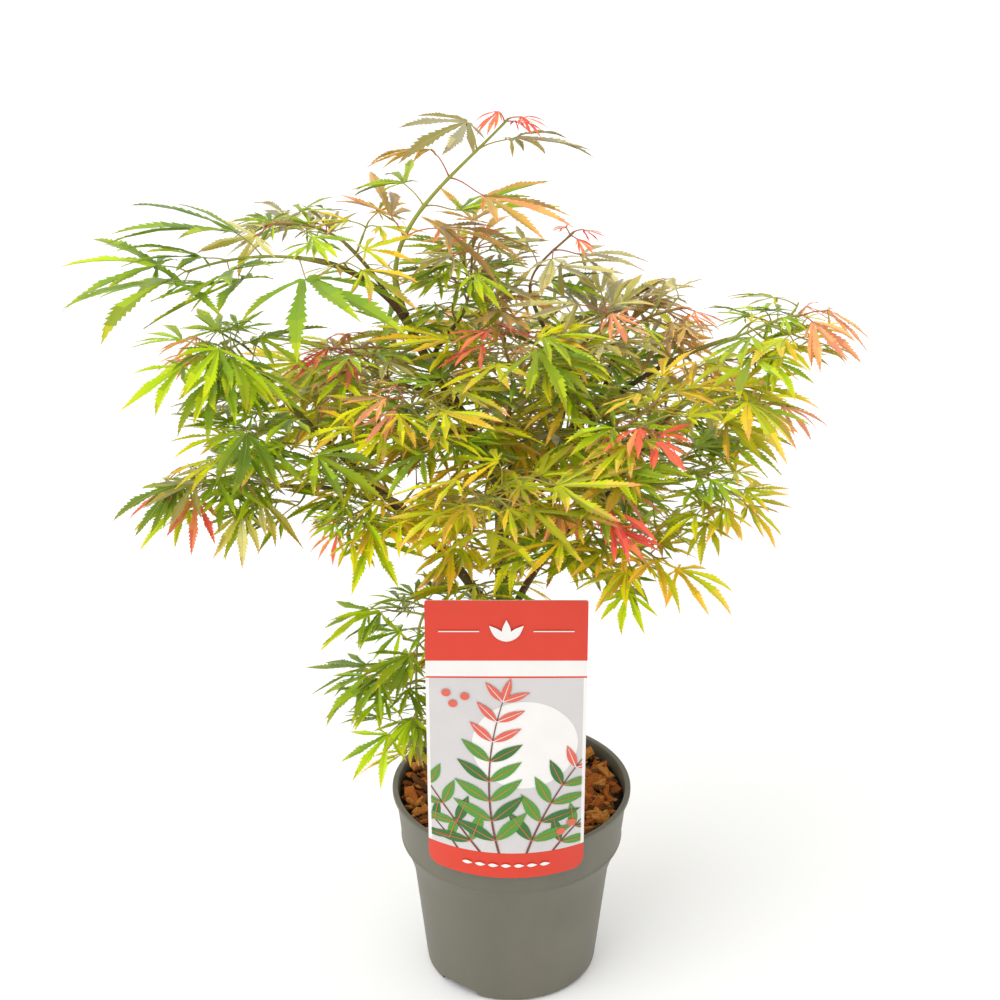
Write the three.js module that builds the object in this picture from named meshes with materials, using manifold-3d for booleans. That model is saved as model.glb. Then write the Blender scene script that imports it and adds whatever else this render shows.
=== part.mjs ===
// A Japanese maple in a nursery pot: a round plastic pot filled with bark mulch, a short
// trunk that forks into a leader and arching boughs, and masses of narrow, lobed leaves on
// opposite shoots. A plant card hooks over the front of the pot's rim.
// Millimetres, +Z up, the front towards -Y. The origin is the middle of the pot's flat
// underside, where the pot stands.
import * as THREE from "three";
import { mergeVertices } from "three/addons/utils/BufferGeometryUtils.js";
import Module from "manifold-3d";

const wasm = await Module();
wasm.setup();

// --- Driving dimensions -------------------------------------------------------------
const GAP = 0.3; // clearance between neighbouring pieces
const ROUNDING = 0.02; // added where a cut has to keep all of that gap

const POT = {
  height: 165,
  rimRadius: 95, // outside, at the top of the lip
  lip: 2.2, // how far the lip stands out of the band
  lipHeight: 5,
  lipSlope: 1.5, // height of the slope under the lip
  bandRadius: 88, // outside, at the foot of the band
  bandFoot: 122,
  shoulderRadius: 78.5, // outside, where the body starts under the band
  shoulder: 96,
  footRadius: 68,
  round: 6, // radius between the wall and the flat underside
  wall: 2.2,
  sides: 32,
};
const DRAIN = {
  width: 40,
  side: 6.5, // height of the arch at its sides
  crown: 9, // height that its curve aims for in the middle
  slant: 3, // how far its sides lean in
  depth: 16,
  past: 8, // how far its cut runs past the wall
  bearings: [-129, 51],
};
const COMPOST = {
  below: 12, // under the pot's top
  relief: 2.6,
  rings: 2,
  edge: 2, // level strip along the wall
  trunkSeat: 16, // radius of the level seat under the trunk
};
const CARD = {
  width: 120,
  top: 398,
  foot: 143,
  aside: -4.5, // of its middle from the pot's
  thickness: 0.8,
  lean: 3, // degrees, the top forwards
  bendRadius: 97, // of the foot, which follows the pot's lip
  flatFrom: 0.75, // share of the height above which the card is flat
  corner: 9,
  columns: 8,
  rows: 5,
  strap: 26, // width of the tongue that hooks over the lip
  strapDrop: 10, // how far the tongue reaches down inside
  strapSlant: 1.5,
};

const TRUNK = {
  fork: [180, 8, 405],
  footRadius: 8.6,
  tipRadius: 4.9,
  flare: 1.5,
  flareShare: 0.12,
  sides: 8,
  steps: 9,
};

// Every bough is one tapering limb. It leaves its parent at a share of the parent's
// length and ends at a bearing (degrees from +X, 90 at the back), a reach from the pot's
// axis and a height. rise turns its tip up from the straight line to it, or down.
const BOUGHS = [
  { name: "leader", parent: "trunk", from: 1, tip: [173, 84, 584], radii: [4.7, 3.1], rise: 0.5 },
  { name: "right_leader", parent: "trunk", from: 0.93, tip: [18, 63, 490], radii: [3.8, 2.7] },
  { name: "left_bough", parent: "trunk", from: 0.56, tip: [-174, 184, 537], radii: [4.3, 2.1], rise: 0.1 },
  { name: "right_bough", parent: "trunk", from: 0.6, tip: [-39, 134, 494], radii: [3.1, 1.8] },
  { name: "low_left_bough", parent: "trunk", from: 0.42, tip: [-148, 66, 344], radii: [2.5, 1.7] },
  { name: "arch_bough", parent: "leader", from: 0.93, tip: [180, 145, 620], radii: [2.7, 2.0], rise: -0.4 },
  { name: "upper_left_bough", parent: "leader", from: 0.78, tip: [162, 129, 615], radii: [1.9, 1.4] },
  { name: "crown_bough", parent: "leader", from: 0.7, tip: [140, 47, 566], radii: [1.9, 1.4], rise: 0.4 },
  { name: "inner_left_bough", parent: "leader", from: 0.45, tip: [-166, 84, 529], radii: [2.1, 1.5] },
  { name: "inner_bough", parent: "leader", from: 0.12, tip: [-91, 30, 526], radii: [2.2, 1.5], rise: 0.2 },
  { name: "front_top_bough", parent: "leader", from: 0.3, tip: [-134, 84, 512], radii: [2.1, 1.5] },
  { name: "back_left_bough", parent: "leader", from: 0.2, tip: [135, 140, 450], radii: [2.4, 1.6] },
  { name: "fan_bough", parent: "left_bough", from: 0.6, tip: [-163, 157, 505], radii: [2.2, 1.6] },
  { name: "left_arm", parent: "left_bough", from: 0.45, tip: [-165, 169, 457], radii: [2.2, 1.6] },
  { name: "front_left_bough", parent: "left_bough", from: 0.3, tip: [-144, 116, 462], radii: [2.1, 1.5] },
  {
    name: "right_top_bough",
    parent: "right_leader",
    from: 0.85,
    tip: [65, 33, 578],
    radii: [1.9, 1.4],
    rise: 0.2,
  },
  {
    name: "inner_right_bough",
    parent: "right_leader",
    from: 0.6,
    tip: [-13, 45, 540],
    radii: [1.9, 1.4],
    rise: 0.2,
  },
  { name: "right_upper_bough", parent: "right_leader", from: 1, tip: [26, 91, 537], radii: [2.4, 1.6] },
  { name: "far_right_bough", parent: "right_leader", from: 0.75, tip: [0, 158, 556], radii: [2.4, 1.6] },
  { name: "right_front_bough", parent: "right_leader", from: 0.5, tip: [-47, 95, 517], radii: [2.1, 1.5] },
  { name: "back_right_bough", parent: "right_leader", from: 0.4, tip: [42, 135, 450], radii: [2.3, 1.6] },
  { name: "right_mid_bough", parent: "right_bough", from: 0.7, tip: [-26, 136, 530], radii: [2.0, 1.5] },
  { name: "front_right_bough", parent: "right_bough", from: 0.35, tip: [-56, 97, 442], radii: [2.0, 1.5] },
  { name: "front_mid_bough", parent: "right_bough", from: 0.5, tip: [-73, 105, 488], radii: [2.0, 1.5] },
  { name: "front_bough", parent: "trunk", from: 0.8, tip: [-97, 96, 474], radii: [2.3, 1.6] },
  { name: "back_bough", parent: "trunk", from: 0.88, tip: [86, 105, 455], radii: [2.4, 1.6] },
  { name: "low_back_bough", parent: "trunk", from: 0.66, tip: [72, 90, 370], radii: [2.2, 1.6] },
];
const RISE = -0.3;
const BOUGH_SIDES = 5;
const BOUGH_STEPS = 4;
const SHOOT_SIDES = 3; // of a mass's stem and its twigs
const STEM_STEPS = 4;

// Every mass of leaves grows on from one bough's tip to a tip of its own. nodes is the
// number of leaf pairs on its stem, three unless it says otherwise, and leaf the length of
// a leaf's middle lobe. A slender mass has no side twigs.
const MASSES = [
  {
    name: "top_shoot",
    bough: "leader",
    tip: [125, 6, 727],
    nodes: 5,
    leaf: 60,
    tint: "bronze",
    slender: true,
  },
  { name: "left_arch", bough: "arch_bough", tip: [-177, 236, 616], leaf: 92, tint: "green" },
  {
    name: "upper_left",
    bough: "upper_left_bough",
    tip: [171, 175, 637],
    nodes: 4,
    leaf: 50,
    tint: "olive",
    slender: true,
  },
  { name: "left_mid", bough: "left_bough", tip: [-174, 224, 560], leaf: 62, tint: "green" },
  { name: "left_fan", bough: "fan_bough", tip: [-162, 204, 506], leaf: 66, tint: "green" },
  { name: "left_low", bough: "left_arm", tip: [-166, 242, 467], leaf: 60, tint: "lime" },
  { name: "front_left", bough: "front_left_bough", tip: [-145, 144, 443], leaf: 52, tint: "lime" },
  {
    name: "low_left",
    bough: "low_left_bough",
    tip: [-149, 88, 240],
    nodes: 5,
    leaf: 50,
    tint: "lime",
    slender: true,
  },
  { name: "crown", bough: "crown_bough", tip: [133, 41, 627], leaf: 50, tint: "olive", slender: true },
  {
    name: "right_top",
    bough: "right_top_bough",
    tip: [34, 54, 629],
    leaf: 54,
    tint: "olive",
    slender: true,
  },
  { name: "right_upper", bough: "right_upper_bough", tip: [18, 133, 563], leaf: 56, tint: "bronze" },
  { name: "far_right", bough: "far_right_bough", tip: [0, 214, 576], leaf: 58, tint: "coral" },
  { name: "right_mid", bough: "right_mid_bough", tip: [-18, 190, 532], leaf: 60, tint: "green" },
  { name: "right_low", bough: "right_bough", tip: [-30, 184, 476], leaf: 58, tint: "lime" },
  { name: "front_right", bough: "front_right_bough", tip: [-47, 150, 434], leaf: 56, tint: "lime" },
  { name: "front", bough: "front_bough", tip: [-99, 150, 499], leaf: 70, tint: "lime" },
  { name: "front_mid", bough: "front_mid_bough", tip: [-68, 151, 485], leaf: 68, tint: "coral" },
  { name: "front_top", bough: "front_top_bough", tip: [-131, 120, 551], leaf: 64, tint: "green" },
  { name: "right_front", bough: "right_front_bough", tip: [-47, 144, 535], leaf: 66, tint: "coral" },
  { name: "inner", bough: "inner_bough", tip: [-103, 36, 576], leaf: 66, tint: "green" },
  { name: "inner_left", bough: "inner_left_bough", tip: [-168, 123, 560], leaf: 62, tint: "olive" },
  { name: "inner_right", bough: "inner_right_bough", tip: [-12, 74, 579], leaf: 62, tint: "olive" },
  { name: "back_left", bough: "back_left_bough", tip: [136, 200, 470], leaf: 68, tint: "green" },
  { name: "back", bough: "back_bough", tip: [88, 180, 475], leaf: 68, tint: "olive" },
  { name: "back_right", bough: "back_right_bough", tip: [42, 200, 470], leaf: 68, tint: "green" },
  { name: "low_back", bough: "low_back_bough", tip: [76, 150, 385], leaf: 62, tint: "lime" },
];
const NODES = 3;
const MOST_NODES = Math.max(...MASSES.map(({ nodes = NODES }) => nodes));

// The rule by which every mass grows. Lengths are shares of the mass's leaf, and angles
// are in degrees, unless a line says otherwise.
const SHOOT = {
  onward: 0.35, // share of a stem's length that it keeps its bough's direction for
  arch: -0.3, // how far its tip turns down
  tipRadius: 1.4, // millimetres
  firstNode: 0.12, // share of the stem's length
  tipNode: 3.5, // millimetres back from a stem's or twig's tip
  tipLeaf: 1.2, // millimetres back from it
  stagger: 2, // millimetres that a pair's two stand apart along their stem
  turn: 80, // from one pair to the next, round the stem
  pairAngle: 55, // between the stem and a petiole or side twig
  petiole: 0.4,
  petioleRadius: 0.62, // millimetres
  neck: 0.25, // share of a petiole that stays clear of the others at its node
  twig: 0.6,
  twigRadius: 1.35, // millimetres
  twigLevel: 0.6, // how much of its rise or fall a side twig keeps
  twigTurn: 20,
  tipSize: 0.8, // size of the last leaves beside the first ones
  sizeSpread: 0.16,
  level: 0.35, // how much of its rise or fall a petiole keeps
  liftSpread: 0.35,
  droop: 24, // of a blade's middle lobe, under the level
  droopSpread: 20,
  roll: 28,
  swing: 24,
  space: 1.85, // how far from its stem a mass may reach
  tries: 6,
};
// A lobe is its bearing from the middle one, its length, and half its width.
const LEAF = {
  lobes: [
    [-84, 0.6, 0],
    [-42, 0.9, 0.1],
    [0, 1, 0.11],
    [42, 0.9, 0.1],
    [84, 0.6, 0],
  ],
  widest: 0.5, // share of the lobe's length
  sinus: 0.13,
  heel: [150, 0.05], // where the blade's edge meets its petiole
  halfThickness: 0.017,
  sag: 0.16, // of a lobe's tip, as a share of its length
};

const COLOURS = {
  pot: [0x7a776b, 0.55],
  compost: [0x6b3a1e, 0.95],
  card: [0xe6e1df, 0.35],
  trunk: [0x4c4a2c, 0.85],
  bough: [0x5f4a2c, 0.8],
  green: [0x6f9a1e, 0.5],
  lime: [0x93a81a, 0.5],
  olive: [0x8a8a4a, 0.5],
  bronze: [0xa0702c, 0.5],
  coral: [0xe0664a, 0.5],
};

// --- Small helpers ------------------------------------------------------------------
const UP = new THREE.Vector3(0, 0, 1);
const radians = THREE.MathUtils.degToRad;
const { lerp } = THREE.MathUtils;

function polar([bearing, reach, height]) {
  const a = radians(bearing);
  return new THREE.Vector3(reach * Math.cos(a), reach * Math.sin(a), height);
}

// The same number from 0 to 1 for the same keys.
function chance(...keys) {
  const weights = [12.9898, 78.233, 37.719, 93.989];
  const s = Math.sin(keys.reduce((sum, key, i) => sum + key * weights[i], 1)) * 43758.5453;
  return s - Math.floor(s);
}
const spread = (...keys) => 2 * chance(...keys) - 1;

function solidOf(geometry) {
  const bare = geometry.clone();
  bare.deleteAttribute("normal");
  bare.deleteAttribute("uv");
  const merged = mergeVertices(bare, 1e-4);
  return new wasm.Manifold(
    new wasm.Mesh({
      numProp: 3,
      vertProperties: merged.attributes.position.array,
      triVerts: new Uint32Array(merged.index.array),
    }),
  );
}

function geometryOf(solid) {
  const { vertProperties, triVerts } = solid.getMesh();
  const geometry = new THREE.BufferGeometry();
  geometry.setAttribute("position", new THREE.BufferAttribute(vertProperties, 3));
  geometry.setIndex(new THREE.BufferAttribute(triVerts, 1));
  geometry.computeVertexNormals();
  return geometry;
}

const plant = new THREE.Group();
function addNode(name, solid, finish) {
  const [color, roughness] = COLOURS[finish];
  const material = new THREE.MeshStandardMaterial({ color, roughness, metalness: 0 });
  const mesh = new THREE.Mesh(geometryOf(solid), material);
  mesh.name = name;
  plant.add(mesh);
}

// A closed, tapering limb along a curve: a cylinder whose rings are moved on to the
// curve. radiusAt gives the radius at a share of the curve's length.
function limbSolid(curve, radiusAt, sides, steps) {
  const geometry = new THREE.CylinderGeometry(1, 1, 1, sides, steps);
  const frames = curve.computeFrenetFrames(steps, false);
  const at = geometry.attributes.position;
  for (let i = 0; i < at.count; i++) {
    const ring = Math.round((at.getY(i) + 0.5) * steps);
    const radius = radiusAt(ring / steps);
    const point = curve
      .getPointAt(ring / steps)
      .addScaledVector(frames.normals[ring], at.getX(i) * radius)
      .addScaledVector(frames.binormals[ring], -at.getZ(i) * radius);
    at.setXYZ(i, point.x, point.y, point.z);
  }
  return solidOf(geometry);
}

// --- Pot and compost ----------------------------------------------------------------
function lathe(profile, sides = POT.sides) {
  const geometry = new THREE.LatheGeometry(
    profile.map(([r, z]) => new THREE.Vector2(r, z)),
    sides,
  );
  return geometry.rotateX(Math.PI / 2);
}

// Radius of the pot's outside at a height, under the lip.
function potRadius(z) {
  const { footRadius, shoulderRadius, shoulder, bandRadius, bandFoot, rimRadius, lip, height } = POT;
  if (z < shoulder) return lerp(footRadius, shoulderRadius, z / shoulder);
  if (z < bandFoot) return lerp(shoulderRadius, bandRadius, (z - shoulder) / (bandFoot - shoulder));
  return lerp(bandRadius, rimRadius - lip, (z - bandFoot) / (height - bandFoot));
}

function potSolid() {
  const { height, rimRadius, lipHeight, round, wall, shoulder, bandFoot } = POT;
  const corner = [0, 45, 90].map((a) => [
    potRadius(round) - round + round * Math.sin(radians(a)),
    round - round * Math.cos(radians(a)),
  ]);
  const outside = [[0, 0], ...corner];
  for (const z of [shoulder, bandFoot, height - lipHeight]) outside.push([potRadius(z), z]);
  outside.push([rimRadius, height - lipHeight + POT.lipSlope], [rimRadius, height]);
  const inside = [height, bandFoot, shoulder, round].map((z) => [potRadius(z) - wall, z]);
  inside.push([potRadius(round) - round, wall], [0, wall]);
  let pot = solidOf(lathe([...outside, ...inside]));
  for (const bearing of DRAIN.bearings) pot = pot.subtract(drainSolid(bearing));
  return pot;
}

// The arch of a drain hole through the corner between the wall and the underside.
function drainSolid(bearing) {
  const { width, side, crown, slant, depth, past } = DRAIN;
  const foot = -1; // under the floor, so that the cut is open below
  const arch = new THREE.Shape();
  arch.moveTo(-width / 2, foot);
  arch.lineTo(-width / 2 + slant, side);
  arch.quadraticCurveTo(0, crown, width / 2 - slant, side);
  arch.lineTo(width / 2, foot);
  const cut = new THREE.ExtrudeGeometry(arch, {
    depth: depth + past,
    bevelEnabled: false,
    curveSegments: 4,
  });
  cut.rotateX(Math.PI / 2).translate(0, depth - POT.footRadius, 0);
  return solidOf(cut.rotateZ(radians(bearing + 90)));
}

function compostSolid() {
  const { round, wall, shoulder, bandFoot, height, sides } = POT;
  const top = height - COMPOST.below;
  const inside = (z) => potRadius(z) - wall - GAP / Math.cos(Math.PI / sides);
  const profile = [[0, wall + GAP], [potRadius(round) - round - GAP, wall + GAP]];
  for (const z of [round + GAP, shoulder, bandFoot, top]) profile.push([inside(z), z]);
  for (let ring = COMPOST.rings; ring > 0; ring--) {
    profile.push([lerp(COMPOST.trunkSeat, inside(top), (ring - 0.5) / COMPOST.rings), top]);
  }
  profile.push([COMPOST.trunkSeat, top], [0, top]);
  const geometry = lathe(profile);
  const at = geometry.attributes.position;
  for (let i = 0; i < at.count; i++) {
    const reach = Math.hypot(at.getX(i), at.getY(i));
    const loose = reach > COMPOST.trunkSeat + 1 && reach < inside(top) - COMPOST.edge;
    if (!loose || at.getZ(i) < top - 1) continue;
    const bump = spread(Math.round(at.getX(i)), Math.round(at.getY(i))) * COMPOST.relief;
    at.setZ(i, top + bump + COMPOST.relief / 2);
  }
  let compost = solidOf(geometry);
  for (const bearing of DRAIN.bearings) {
    compost = compost.subtract(drainSolid(bearing).translate([0, 0, GAP]));
  }
  return compost;
}

// --- Plant card ---------------------------------------------------------------------
// The card is flat at its top and bends round the lip at its foot. It hooks over the lip
// by a tongue behind it.
function cardSolid() {
  const { width, top, foot, corner, thickness, bendRadius, flatFrom, columns, rows, aside } = CARD;
  const lean = Math.tan(radians(CARD.lean));
  const outer = bendRadius + GAP + thickness / 2;
  const sheet = new THREE.BoxGeometry(width, thickness, top - foot, columns, 1, rows);
  const at = sheet.attributes.position;
  for (let i = 0; i < at.count; i++) {
    const share = at.getZ(i) / (top - foot) + 0.5; // 0 at the foot, 1 at the top
    const x = at.getX(i) + aside;
    const side = Math.max(0, Math.abs(x - aside) - width / 2 + corner) / corner;
    const cut = share < 0.01 ? corner * (1 - Math.sqrt(1 - side * side)) : 0;
    const z = foot + share * (top - foot) + cut;
    const forward = outer + lean * Math.max(0, z - POT.height);
    const bend = bendRadius - Math.sqrt(bendRadius ** 2 - x ** 2);
    const curl = Math.max(0, 1 - share / flatFrom) * bend;
    at.setXYZ(i, x, curl - forward + at.getY(i), z);
  }
  return solidOf(sheet).add(tongueSolid(outer));
}

function tongueSolid(outer) {
  const { thickness, strap, strapDrop, strapSlant, aside } = CARD;
  const over = POT.height + GAP;
  const inside = (POT.rimRadius - POT.lip - POT.wall) * Math.cos(Math.PI / POT.sides);
  const back = Math.sqrt(inside ** 2 - (strap / 2 + Math.abs(aside)) ** 2) - GAP;
  const low = POT.height - strapDrop;
  const hook = new THREE.Shape();
  hook.moveTo(-outer, over + 2 * thickness);
  hook.lineTo(-outer, over);
  hook.lineTo(-back, over);
  hook.lineTo(-back + strapSlant, low);
  hook.lineTo(-back + strapSlant + thickness, low);
  hook.lineTo(-back + thickness, over + 2 * thickness);
  const tongue = new THREE.ExtrudeGeometry(hook, { depth: strap, bevelEnabled: false });
  tongue.translate(0, 0, aside - strap / 2).rotateY(Math.PI / 2).rotateX(Math.PI / 2);
  return solidOf(tongue);
}

// --- Trunk and boughs ---------------------------------------------------------------
// Growing room that is taken: a solid with its box, and the joints at which it may touch
// others that share them.
const taken = [];
function take(solid, joints = []) {
  taken.push({ solid, joints, box: boxOf(solid).expandByScalar(GAP) });
}
function boxOf(solid) {
  const { min, max } = solid.boundingBox();
  return new THREE.Box3(new THREE.Vector3(...min), new THREE.Vector3(...max));
}
// Whether a solid stands clear of all that is taken and shares no joint with it.
function isClear(solid, joints = []) {
  const box = boxOf(solid);
  return taken.every(
    (other) =>
      !other.box.intersectsBox(box) ||
      other.joints.some((joint) => joints.includes(joint)) ||
      solid.minGap(other.solid, GAP) >= GAP,
  );
}

// A curve that leaves a point in one direction and arrives at another in a second one.
function reachingCurve(start, leaving, end, arriving, share) {
  const handle = start.distanceTo(end) * share;
  return new THREE.CubicBezierCurve3(
    start,
    start.clone().addScaledVector(leaving.clone().normalize(), handle),
    end.clone().addScaledVector(arriving.clone().normalize(), -handle),
    end,
  );
}

const limbs = new Map(); // name -> curve, radiusAt, and the room that it takes
function addLimb(name, curve, radiusAt, sides, steps, finish) {
  let solid = limbSolid(curve, radiusAt, sides, steps);
  for (const limb of limbs.values()) {
    if (boxOf(limb.room).intersectsBox(boxOf(solid))) solid = solid.subtract(limb.room);
  }
  const whole = solid.decompose().sort((a, b) => b.volume() - a.volume())[0];
  const clearance = (GAP + ROUNDING) / Math.cos(Math.PI / sides);
  const room = limbSolid(curve, (share) => radiusAt(share) + clearance, sides, steps);
  limbs.set(name, { curve, radiusAt, room });
  take(whole);
  addNode(name, whole, finish);
}

function addTrunk() {
  const { fork, footRadius, tipRadius, flare, flareShare, sides, steps } = TRUNK;
  const foot = new THREE.Vector3(0, 0, POT.height - COMPOST.below + GAP);
  const curve = reachingCurve(foot, UP, polar(fork), UP, 0.4);
  const radiusAt = (share) =>
    lerp(footRadius, tipRadius, share) * (1 + (flare - 1) * Math.max(0, 1 - share / flareShare) ** 2);
  addLimb("trunk", curve, radiusAt, sides, steps, "trunk");
}

function addBough({ name, parent, from, tip, radii, rise = RISE }) {
  const { curve: stem } = limbs.get(parent);
  const leaving = stem.getTangentAt(from);
  const start = stem.getPointAt(from);
  if (from === 1) start.addScaledVector(leaving, GAP);
  const end = polar(tip);
  const along = end.clone().sub(start).normalize();
  if (from < 1) leaving.add(along);
  const arriving = along.clone().addScaledVector(UP, rise);
  const curve = reachingCurve(start, leaving, end, arriving, 0.35);
  addLimb(name, curve, (share) => lerp(...radii, share), BOUGH_SIDES, BOUGH_STEPS, "bough");
}

// --- Leaf masses --------------------------------------------------------------------
// A leaf: narrow lobes round the end of a petiole that starts at a node. Its star-shaped
// outline is joined to one point above the blade's middle and one below it, and the
// petiole is drawn out from there as a four-sided bar.
function leafSolid(node, base, out, normal, length) {
  const { lobes, widest, sinus, heel, halfThickness, sag } = LEAF;
  const side = new THREE.Vector3().crossVectors(normal, out);
  const outline = [[-heel[0], heel[1]]];
  lobes.forEach(([bearing, lobe, half], i) => {
    const shoulder = THREE.MathUtils.radToDeg(Math.atan(half / widest));
    if (i > 0) outline.push([(bearing + lobes[i - 1][0]) / 2, sinus]);
    if (half > 0) outline.push([bearing - shoulder, lobe * widest]);
    outline.push([bearing, lobe]);
    if (half > 0) outline.push([bearing + shoulder, lobe * widest]);
  });
  outline.push(heel);
  const points = outline.map(([bearing, reach]) =>
    base
      .clone()
      .addScaledVector(out, Math.cos(radians(bearing)) * reach * length)
      .addScaledVector(side, Math.sin(radians(bearing)) * reach * length)
      .addScaledVector(normal, -sag * reach * reach * length),
  );
  const last = points.length - 1;
  const [over, under, top, left, bottom, right] = [1, 2, 3, 4, 5, 6].map((n) => last + n);
  points.push(base.clone().addScaledVector(normal, halfThickness * length));
  points.push(base.clone().addScaledVector(normal, -halfThickness * length));
  const radius = SHOOT.petioleRadius;
  const across = side.clone().multiplyScalar(radius);
  const rise = new THREE.Vector3().crossVectors(base.clone().sub(node), side).setLength(radius);
  for (const corner of [rise, across.clone().negate(), rise.clone().negate(), across]) {
    points.push(node.clone().add(corner));
  }
  const faces = [];
  for (let i = 0; i < last; i++) faces.push([i, i + 1, over], [i + 1, i, under]);
  faces.push([0, over, left], [left, over, top], [top, over, right], [right, over, last]);
  faces.push([under, 0, left], [under, left, bottom], [under, bottom, right], [under, right, last]);
  faces.push([top, right, bottom], [top, bottom, left]);
  return new wasm.Manifold(
    new wasm.Mesh({
      numProp: 3,
      vertProperties: new Float32Array(points.flatMap((p) => p.toArray())),
      triVerts: new Uint32Array(faces.flat()),
    }),
  );
}

// A straight, three-sided side twig.
function twigSolid(start, end, radius) {
  return limbSolid(new THREE.LineCurve3(start, end), () => radius, SHOOT_SIDES, 1);
}

// One mass grows from its bough's tip on a stem of its own, which is there before any
// leaf. Then it bears a pair of leaves at each node, and side twigs at every second one.
class Mass {
  constructor(spec, seed) {
    Object.assign(this, { nodes: NODES, seed, keys: 0 }, spec);
    const { curve: limb, radiusAt } = limbs.get(this.bough);
    const leaving = limb.getTangentAt(1);
    const start = limb.getPointAt(1).addScaledVector(leaving, GAP);
    const end = polar(this.tip);
    const arriving = end.clone().sub(start).normalize().addScaledVector(UP, SHOOT.arch);
    this.stem = reachingCurve(start, leaving, end, arriving, SHOOT.onward);
    this.path = this.stem.getSpacedPoints(3 * STEM_STEPS);
    this.parts = [];
    const joints = Array.from({ length: this.nodes }, (_, n) => this.name + n);
    const stemRadius = (share) => lerp(radiusAt(1), SHOOT.tipRadius, share);
    this.keep(limbSolid(this.stem, stemRadius, SHOOT_SIDES, STEM_STEPS), joints);
  }

  keep(solid, joints) {
    take(solid, joints);
    this.parts.push(solid);
  }

  holds(point) {
    return this.path.some((p) => p.distanceTo(point) < SHOOT.space * this.leaf);
  }

  // The middle of the faceted stem at a share of its length.
  onStem(share) {
    const step = Math.min(Math.floor(share * STEM_STEPS), STEM_STEPS - 1);
    const [from, to] = [step, step + 1].map((ring) => this.stem.getPointAt(ring / STEM_STEPS));
    return from.lerp(to, share * STEM_STEPS - step);
  }

  growNode(n) {
    const share = n / (this.nodes - 1);
    const size = lerp(1, SHOOT.tipSize, share);
    const at = lerp(SHOOT.firstNode, 1 - SHOOT.tipNode / this.stem.getLength(), share);
    const node = this.onStem(at);
    const along = this.stem.getTangentAt(at);
    const last = n === this.nodes - 1;
    if (last) {
      const tip = this.stem.getPointAt(1).addScaledVector(along, -SHOOT.tipLeaf);
      this.growLeaf(tip, along, size, this.name + n);
    }
    const onTwigs = n % 2 === 0 && !last && !this.slender;
    this.growPair(node, along, n * SHOOT.turn, size, this.name + n, onTwigs);
  }

  growPair(node, along, turn, size, joint, onTwigs) {
    const flat = new THREE.Vector3().crossVectors(along, UP).normalize();
    const angle = radians(SHOOT.pairAngle);
    for (const hand of [-1, 1]) {
      const axis = flat.clone().applyAxisAngle(along, radians(turn)).multiplyScalar(hand);
      const direction = along.clone().multiplyScalar(Math.cos(angle));
      direction.addScaledVector(axis, Math.sin(angle));
      const root = node.clone().addScaledVector(along, (hand * SHOOT.stagger) / 2);
      if (onTwigs) this.growTwig(root, direction, size, joint, joint + "twig" + hand);
      else this.growLeaf(root, direction, size, joint);
    }
  }

  growTwig(root, direction, size, joint, ownJoint) {
    const heading = direction.clone().setZ(direction.z * SHOOT.twigLevel).normalize();
    const end = root.clone().addScaledVector(heading, SHOOT.twig * this.leaf * size);
    const twig = twigSolid(root, end, SHOOT.twigRadius);
    if (!isClear(twig, [joint])) return;
    this.keep(twig, [joint, ownJoint]);
    this.growLeaf(end.clone().addScaledVector(heading, -SHOOT.tipLeaf), heading, size, ownJoint);
    const node = end.clone().addScaledVector(heading, -SHOOT.tipNode);
    this.growPair(node, heading, SHOOT.twigTurn, size, ownJoint, false);
  }

  growLeaf(node, direction, size, joint) {
    const key = this.keys++;
    for (let attempt = 0; attempt < SHOOT.tries; attempt++) {
      const vary = (n) => spread(this.seed, key, attempt, n);
      const heading = direction.clone().applyAxisAngle(UP, radians(SHOOT.swing * vary(0)));
      heading.z = heading.z * SHOOT.level + SHOOT.liftSpread * vary(1);
      heading.normalize();
      const length = this.leaf * size * (1 + SHOOT.sizeSpread * vary(2));
      const base = node.clone().addScaledVector(heading, SHOOT.petiole * length);
      const droop = radians(SHOOT.droop + SHOOT.droopSpread * vary(3));
      const out = heading.clone().setZ(0).normalize();
      const across = new THREE.Vector3().crossVectors(UP, out);
      out.applyAxisAngle(across, droop);
      const normal = UP.clone().applyAxisAngle(across, droop);
      normal.applyAxisAngle(out, radians(SHOOT.roll * vary(4)));
      if (!this.holds(base.clone().addScaledVector(out, length))) continue;
      const leaf = leafSolid(node, base, out, normal, length);
      const blade = leafSolid(base.clone().lerp(node, SHOOT.neck), base, out, normal, length);
      if (!isClear(leaf, [joint]) || !isClear(blade)) continue;
      this.keep(leaf, [joint]);
      take(blade);
      return;
    }
  }
}

// --- Build --------------------------------------------------------------------------
const fixed = [
  ["pot", potSolid(), "pot"],
  ["compost", compostSolid(), "compost"],
  ["plant_card", cardSolid(), "card"],
];
for (const [name, solid, finish] of fixed) {
  addNode(name, solid, finish);
  take(solid);
}
addTrunk();
BOUGHS.forEach(addBough);
const masses = MASSES.map((spec, i) => new Mass(spec, i));
for (let back = 1; back <= MOST_NODES; back++) {
  for (const mass of masses) if (back <= mass.nodes) mass.growNode(mass.nodes - back);
}
for (const mass of masses) addNode(mass.name, wasm.Manifold.union(mass.parts), mass.tint);

export default plant;
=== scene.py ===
from math import atan2, cos, degrees, exp, floor, hypot, pi, radians, sin, sqrt, tan

import bmesh
import bpy
import numpy as np
from mathutils import Matrix, Quaternion, Vector, noise
from mathutils.bvhtree import BVHTree


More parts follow.
